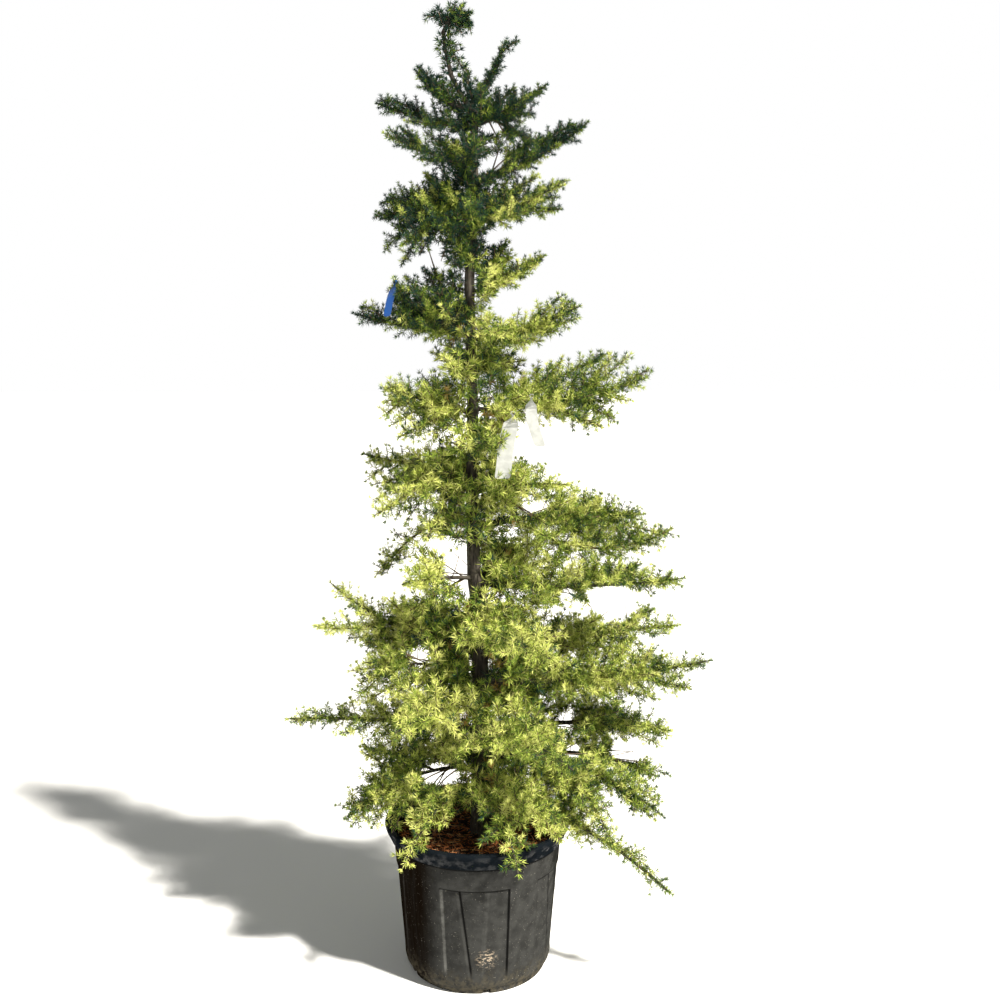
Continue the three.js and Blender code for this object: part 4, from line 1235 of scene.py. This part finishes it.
def add_branchlets(sprays, starts, crests, ends, girths, tints):
    """Short branchlets to all sides of shoots, out to the shoots' girth."""
    length = np.linalg.norm(ends - starts, axis=1)
    counts = np.maximum(np.round(length * BRANCHLET_PART / BRANCHLET_PITCH), 1).astype(int)
    owner, share, places, along, out = around(starts, crests, ends, counts, *BRANCHLET_PLACES)
    size = (girths[owner] * taper(share) - BRANCHLET_ROOM) / math.sin(BRANCHLET_LEAN)
    size = size * random.uniform(*BRANCHLET_SIZES, len(owner))
    way = unit(math.cos(BRANCHLET_LEAN) * along + math.sin(BRANCHLET_LEAN) * out + BRANCHLET_LIFT * UP)
    size = np.minimum(size, BRANCHLET_RANGE[1])
    kept = (size > BRANCHLET_RANGE[0]) & ~is_open(places, places + way * size[:, None])
    size, places, way, owner = size[kept, None], places[kept], way[kept], owner[kept]
    tips = places + way * size
    tints = np.where(random.uniform(size=len(owner)) < OWN_TINT, deal_tints(tips), tints[owner])
    sprays.add(places, (places + tips) / 2 - UP * BRANCHLET_SAG * size, tips, FINE_WOOD, tints)


def add_shoot_sprays(sprays, masses):
    """The shoots of the rule, each one hanging a little in its middle."""
    shoots = [shoot for mass in masses for shoot in mass.shoots]
    roots, tips = np.array([root for root, _, _ in shoots]), np.array([tip for _, tip, _ in shoots])
    girths = np.array([radius for _, _, radius in shoots])
    length = np.linalg.norm(tips - roots, axis=1, keepdims=True)
    ends = tips - unit(tips - roots) * SHORT_OF_TIP
    crests = (roots + ends) / 2 - UP * 2 * SHOOT_SAG * length
    tints = deal_tints(tips)
    sprays.add(roots, crests, ends, MAIN_WOOD, tints)
    add_branchlets(sprays, roots, crests, ends, girths, tints)
    twigs = np.array([twig for mass in masses for twig in mass.twigs])
    roots, forks = twigs[:, 0], twigs[:, 1]
    sprays.add(roots, (roots + forks) / 2, forks, TWIG_WOOD, deal_tints(forks))


def add_side_shoots(sprays, roots, way, size, girth, shortest=0):
    """Short shoots where no opening is, and branchlets on those over a length."""
    kept = ~is_open(roots, roots + way * size)
    size, roots, way = size[kept], roots[kept], way[kept]
    tips = roots + way * size
    crests = (roots + tips) / 2 - UP * 2 * SHOOT_SAG * size
    tints = deal_tints(tips)
    sprays.add(roots, crests, tips, SIDE_WOOD, tints)
    long = size[:, 0] > shortest
    add_branchlets(sprays, roots[long], crests[long], tips[long], size[long, 0] * girth, tints[long])


def infill_stems(masses):
    """The stems that the dressed crown has over those of the rule."""
    paths = {mass.name: mass.stems[0][:2] for mass in masses}

    def root_on(owner, at):
        path, start = paths[owner]
        return path.at(start + (1 - start) * at)

    stems = [(Path(root_on(owner, at), *bend), 0, INFILL_RADIUS, width)
             for owner, at, *bend, width in rows_of(INFILL)]
    for owner, at, aside, height, depth, arch, width in rows_of(INFILL_TIPS) + [row for _, row, *_ in LABELS]:
        root = root_on(owner, at)
        away = (EYE[1] - depth) / EYE[1]
        way = np.array([aside * away, depth, blend(EYE[2], height, away)]) - root
        bearing, reach = math.degrees(math.atan2(way[1], way[0])), math.hypot(way[0], way[1])
        stems.append((Path(root, bearing, reach, way[2], arch), 0, INFILL_RADIUS, width))
    return stems


def add_stem_sprays(sprays, stems):
    """Rosettes right on the stems, and the stems' own side shoots, between those of the rule."""
    for path, start, _, width in stems:
        start = min(start, STEM_BARE / path.length)
        root, middle, end = path.at([start + 0.02, 0.5, STEM_END])
        crest = 2 * middle - (root + end) / 2
        sprays.add(root[None], crest[None], end[None], STEM_WOOD, deal_tints(middle[None]))
        curve = [each[None] for each in (path.start, path.crest, path.tip)]
        count = np.array([max(round(path.length * (STEM_END - start) / SIDE_PITCH), 1)])
        _, share, places, along, out = around(*curve, count, start + 0.02, STEM_END - 0.04)
        hangs = 1 - SIDE_UNDER * np.clip(-out[:, 2], 0, 1)
        size = width * blend(*SIDE_SHARES, share**1.4) * random.uniform(*SIDE_SIZES, len(share)) * hangs
        size = np.clip(size, *SIDE_RANGE)[:, None]
        way = unit(math.sin(SIDE_LEAN) * out + math.cos(SIDE_LEAN) * along + SIDE_RISE * UP)
        add_side_shoots(sprays, places, way, size, SIDE_GIRTH, SIDE_BRANCHES)


def add_trunk_sprays(sprays):
    """Short shoots that the trunk carries itself, between its boughs and up the leader."""
    levels = np.linspace(*TRUNK_SHOOTS, 200)
    crowding = np.cumsum(np.interp(levels, *TRUNK_SHOOT_CROWDING))
    count = TRUNK_SHOOTS_ALL
    heights = np.interp(np.linspace(crowding[0], crowding[-1], count), crowding, levels)
    x, y, radius = trunk_at(heights)
    turn = np.arange(count) * GOLDEN_ANGLE
    out = np.stack([np.cos(turn), np.sin(turn), np.zeros(count)], axis=-1)
    roots = np.stack([x, y, heights], axis=-1) + out * (radius * 0.8)[:, None]
    size = (np.interp(heights, *TRUNK_SHOOT_LENGTH) * random.uniform(*TRUNK_SHOOT_SIZES, count))[:, None]
    way = unit(out + UP * random.uniform(*TRUNK_SHOOT_LIFT, (count, 1)))
    add_side_shoots(sprays, roots, way, size, TRUNK_SHOOT_GIRTH)


def add_needles(sprays, masses):
    """All the needles as kites of two triangles, joined by tint."""
    starts, crests, ends = sprays[:, :3], sprays[:, 3:6], sprays[:, 6:9]
    length = np.linalg.norm(ends - starts, axis=1)
    outer, height = outwardness(ends), starts[:, 2]
    apart, inner_size = (np.interp(outer, INNER[0], values) for values in INNER[1:])
    pitch = ROSETTE_PITCH * np.interp(height, *NEEDLE_LENGTH) * apart * np.interp(height, *TOP_PITCH)
    counts = np.maximum(np.round(length / pitch), 1).astype(int)
    owner, share, roots, along, out = around(starts, crests, ends, counts, 0, 1, ROSETTE_LEAD)
    last = np.cumsum(counts) - 1
    at_root, at_tip, upwards = ROSETTE_TURN
    axis = unit(out + (at_root + at_tip * share**3)[:, None] * along + upwards * UP)
    roots[last], axis[last] = ends, along[last]
    last = np.isin(np.arange(len(owner)), last)
    kept = ~is_open(roots, roots)
    owner, share, roots, along, axis, last = (each[kept] for each in (owner, share, roots, along, axis, last))
    across, over = square_to(axis)
    order = np.arange(ROSETTE_NEEDLES)
    shape = (len(owner), ROSETTE_NEEDLES, 1)
    lean = np.radians(blend(*ROSETTE_LEAN, (order + 0.5) / ROSETTE_NEEDLES))[:, None]
    lean = lean + random.normal(0, LEAN_SPREAD, shape)
    lean[last] *= TIP_LEAN
    turn = (order * GOLDEN_ANGLE)[:, None] + random.uniform(0, 2 * math.pi, (len(owner), 1, 1))
    fan = np.cos(turn) * across[:, None] + np.sin(turn) * over[:, None]
    way = unit(np.cos(lean) * axis[:, None] + np.sin(lean) * fan)
    size = np.interp(roots[:, 2], *NEEDLE_LENGTH) * (1 - 0.25 * share**4) * inner_size[owner]
    size = size[:, None, None] * random.uniform(*NEEDLE_SIZES, shape)
    blade = along[:, None] + BLADE_SPREAD * random.normal(size=way.shape)
    blade = unit(blade - (blade * way).sum(axis=-1, keepdims=True) * way)
    width = (np.interp(roots[:, 2], *NEEDLE_WIDTH) * inner_size[owner])[:, None, None]
    base = roots[:, None] + 0 * way
    belly = base + way * size * NEEDLE_BELLY + np.cross(blade, way) * width * NEEDLE_BOW
    side = blade * width / 2
    corners = np.stack([base, belly + side, base + way * size, belly - side], axis=2).reshape(-1, 4, 3)
    tints = np.repeat(sprays[owner, 10], ROSETTE_NEEDLES)
    dry = len(TINTS) - 1
    # painted light and shade among a spray's needles: a random shift of one tint brighter, none, one deeper
    shifted = np.clip(tints + random.choice([-1, 0, 1], len(tints), p=TINT_SHIFTS), 0, dry - 1)
    tints = np.where(tints < dry, shifted, tints)
    names = ["needles_" + mass.name for mass in masses]
    for index, (tint, colour, roughness, *_) in enumerate(TINTS):
        chosen = np.flatnonzero(tints == index)
        finish = needle_finish(tint, colour, roughness)
        slot = "top_needles" if tint in TOP_TINTS else "needles"
        parts = math.ceil(len(chosen) / PIECE_NEEDLES)
        for part in range(parts):
            points = corners[chosen[part::parts]].reshape(-1, 3)
            faces = np.array([[0, 1, 2], [0, 2, 3]]) + 4 * np.arange(len(points) // 4)[:, None, None]
            piece = f"sprays_{tint}_{part + 1}"
            add_piece(piece, points, faces.reshape(-1, 3), finish, slot, names, smooth=False)


def add_twigs(sprays, forks, masses):
    """The wood that carries the sprays, and the stems that fork off the boughs, as a piece each."""
    wood, names = twig_finish(), ["needles_" + mass.name for mass in masses]
    parts = []
    fine = sprays[:, 9] <= FINE_WOOD
    for chosen, count in ((sprays[fine], 2), (sprays[~fine], 3)):
        shares = np.linspace(0, 1, count)
        centres, _ = places_on(chosen[:, None, :3], chosen[:, None, 3:6], chosen[:, None, 6:9], shares)
        parts.append(closed_tubes(rings_about(centres, chosen[:, 9:10] * (1 - TWIG_TAPER * shares), 3)))
    add_piece("twigs", *join(parts), wood, "bark", names)
    shares = np.linspace(0, STEM_END, 12)
    radii = np.array([[radius] for _, _, radius, _ in forks]) * blend(*STEM_TAPER, shares)
    forks = np.array([path.at(shares) for path, *_ in forks])
    add_piece("stems", *closed_tubes(rings_about(forks, radii, 6)), wood, "bark", names)


# ------------------------------------------------------------------ labels and ribbon

LABEL_HOLD = 0.9  # share of its stem at which a label hangs
LABEL_THICKNESS = 0.9
LABEL_NECK = 7  # width of the band that loops over the stem
LABEL_CORNER = 6  # radius of the corners at its foot
LOOP_RADIUS = 4.2
LOOP_STEPS = 16
NECK_DROP = (6, 18)  # how far down the neck widens to the label
LABEL_TWIST = 30  # how far down it has turned to the front
LABEL_CURL = (5, 4)  # how far it curls to the front and back, and how often


def add_label(name, path, width, length, sway, finish):
    """A strip that loops once round the end of a stem and hangs from it, rounded at its foot."""
    hold, across = path.at(LABEL_HOLD), unit(path.heading(LABEL_HOLD) * (1, 1, 0))
    out = np.cross(across, UP)
    turn = np.linspace(-0.5, 1.5, LOOP_STEPS)[:, None] * math.pi
    loop = hold + LOOP_RADIUS * (np.cos(turn) * out + np.sin(turn) * UP)
    neck, shoulder = NECK_DROP
    down = np.linspace(shoulder, length - LABEL_CORNER, 12)
    down = np.array([neck, 14, *down, length - 3, length - 1, length])
    share = (down / length)[:, None]
    curl, waves = LABEL_CURL
    hanging = loop[-1] - down[:, None] * UP + ASIDE * sway * share**1.3 + out * curl * np.sin(waves * share)
    widths = np.interp(down, NECK_DROP, [LABEL_NECK, width])
    rounded = np.clip(LABEL_CORNER - (length - down), 0, LABEL_CORNER)
    widths -= 2 * (LABEL_CORNER - np.sqrt(LABEL_CORNER**2 - rounded**2))
    centres = np.concatenate([loop, hanging])
    turned = np.concatenate([np.zeros(LOOP_STEPS), np.interp(down, [0, LABEL_TWIST], [0, 1])])[:, None]
    flat = unit(blend(across, np.copysign(ASIDE, across[0]), turned))
    half = np.concatenate([np.full(LOOP_STEPS, LABEL_NECK), widths])[:, None] / 2 * flat
    normal = unit(np.cross(np.gradient(centres, axis=0), flat)) * LABEL_THICKNESS / 2
    rings = np.stack([centres - half - normal, centres + half - normal, centres + half + normal,
                      centres - half + normal], axis=1)
    add_piece(name, *closed_tubes(rings[None]), finish, "tag", smooth=False)


# ------------------------------------------------------------------ the plant

limbs, masses = grow_crown()
sprays = Sprays()
add_shoot_sprays(sprays, masses)
infill = infill_stems(masses)
add_stem_sprays(sprays, [stem for mass in masses for stem in mass.stems] + infill)
add_trunk_sprays(sprays)
rows = sprays.all()
bark = bark_finish()
add_pot()
add_mulch()
add_trunk([mass.stems[0][0] for mass in masses], bark)
add_boughs(limbs, masses, bark)
add_twigs(rows, [stem for mass in masses for stem in mass.stems[1:]] + infill, masses)
add_needles(rows, masses)
paper = label_finish("tag_paper", (0.43, 0.44, 0.42), 0.5)
film = label_finish("ribbon_film", (0.002, 0.044, 0.19), 0.35)
for (name, _, width, length, sway), (path, *_) in zip(LABELS, infill[-len(LABELS):]):
    add_label(name, path, width, length, sway, film if name == "ribbon" else paper)


# ------------------------------------------------------------------ floor, light and camera

FLOOR_REACH = 40
LENS_LENGTH, SENSOR_WIDTH = 41.4, 36
CAMERA_TILT, CAMERA_TURN = 82.57, -1.18  # degrees up from straight down, and to the left


def add_floor():
    """A pale floor under the pot, far enough to every side."""
    far = FLOOR_REACH
    mesh = bpy.data.meshes.new("floor")
    mesh.from_pydata([(-far, -far, 0), (far, -far, 0), (far, far, 0), (-far, far, 0)], [], [(0, 1, 2, 3)])
    pale = Finish("pale_floor", base_color=(0.86, 0.86, 0.86))
    pale.roughen(pale.noise(3), 0.1, 0.75)
    mesh.materials.append(pale.material)
    put("floor", mesh)


def add_light(kind, name, energy, turn, lift, **settings):
    """A light that shines from a turn to the right of the front and a lift above level."""
    lamp = bpy.data.lights.new(name, kind)
    lamp.energy = energy
    for setting, value in settings.items():
        setattr(lamp, setting, value)
    put(name, lamp).rotation_euler = (math.radians(90 - lift), 0, math.radians(turn))


def add_world(backdrop, ambient, strength):
    """A near-white backdrop behind the plant, and a softer light of its own from all sides."""
    world = bpy.data.worlds.new("studio")
    world.use_nodes = True
    tree = world.node_tree
    seen = tree.nodes["Background"]
    seen.inputs["Color"].default_value = (*backdrop, 1)
    shed = tree.nodes.new("ShaderNodeBackground")
    shed.inputs["Color"].default_value = (*ambient, 1)
    shed.inputs["Strength"].default_value = strength
    mix = tree.nodes.new("ShaderNodeMixShader")
    tree.links.new(tree.nodes.new("ShaderNodeLightPath").outputs["Is Camera Ray"], mix.inputs[0])
    tree.links.new(shed.outputs[0], mix.inputs[1])
    tree.links.new(seen.outputs[0], mix.inputs[2])
    tree.links.new(mix.outputs[0], tree.nodes["World Output"].inputs["Surface"])
    bpy.context.scene.world = world


def add_camera():
    """The front as a photographer at the height of the upper crown sees it."""
    lens = bpy.data.cameras.new("camera")
    lens.lens, lens.sensor_width = LENS_LENGTH, SENSOR_WIDTH
    camera = put("camera", lens)
    camera.location = [part * MM for part in EYE]
    camera.rotation_euler = (math.radians(CAMERA_TILT), 0, math.radians(CAMERA_TURN))
    bpy.context.scene.camera = camera


add_floor()
add_light("SUN", "key", 9.6, 52, 48, angle=math.radians(4), color=(1.0, 0.96, 0.88))
add_light("SUN", "fill", 0.5, -50, 20, angle=math.radians(40))
add_world((1.0, 1.0, 1.0), (0.98, 1.0, 0.94), 0.23)
add_camera()
bpy.context.scene.view_settings.view_transform = "Standard"
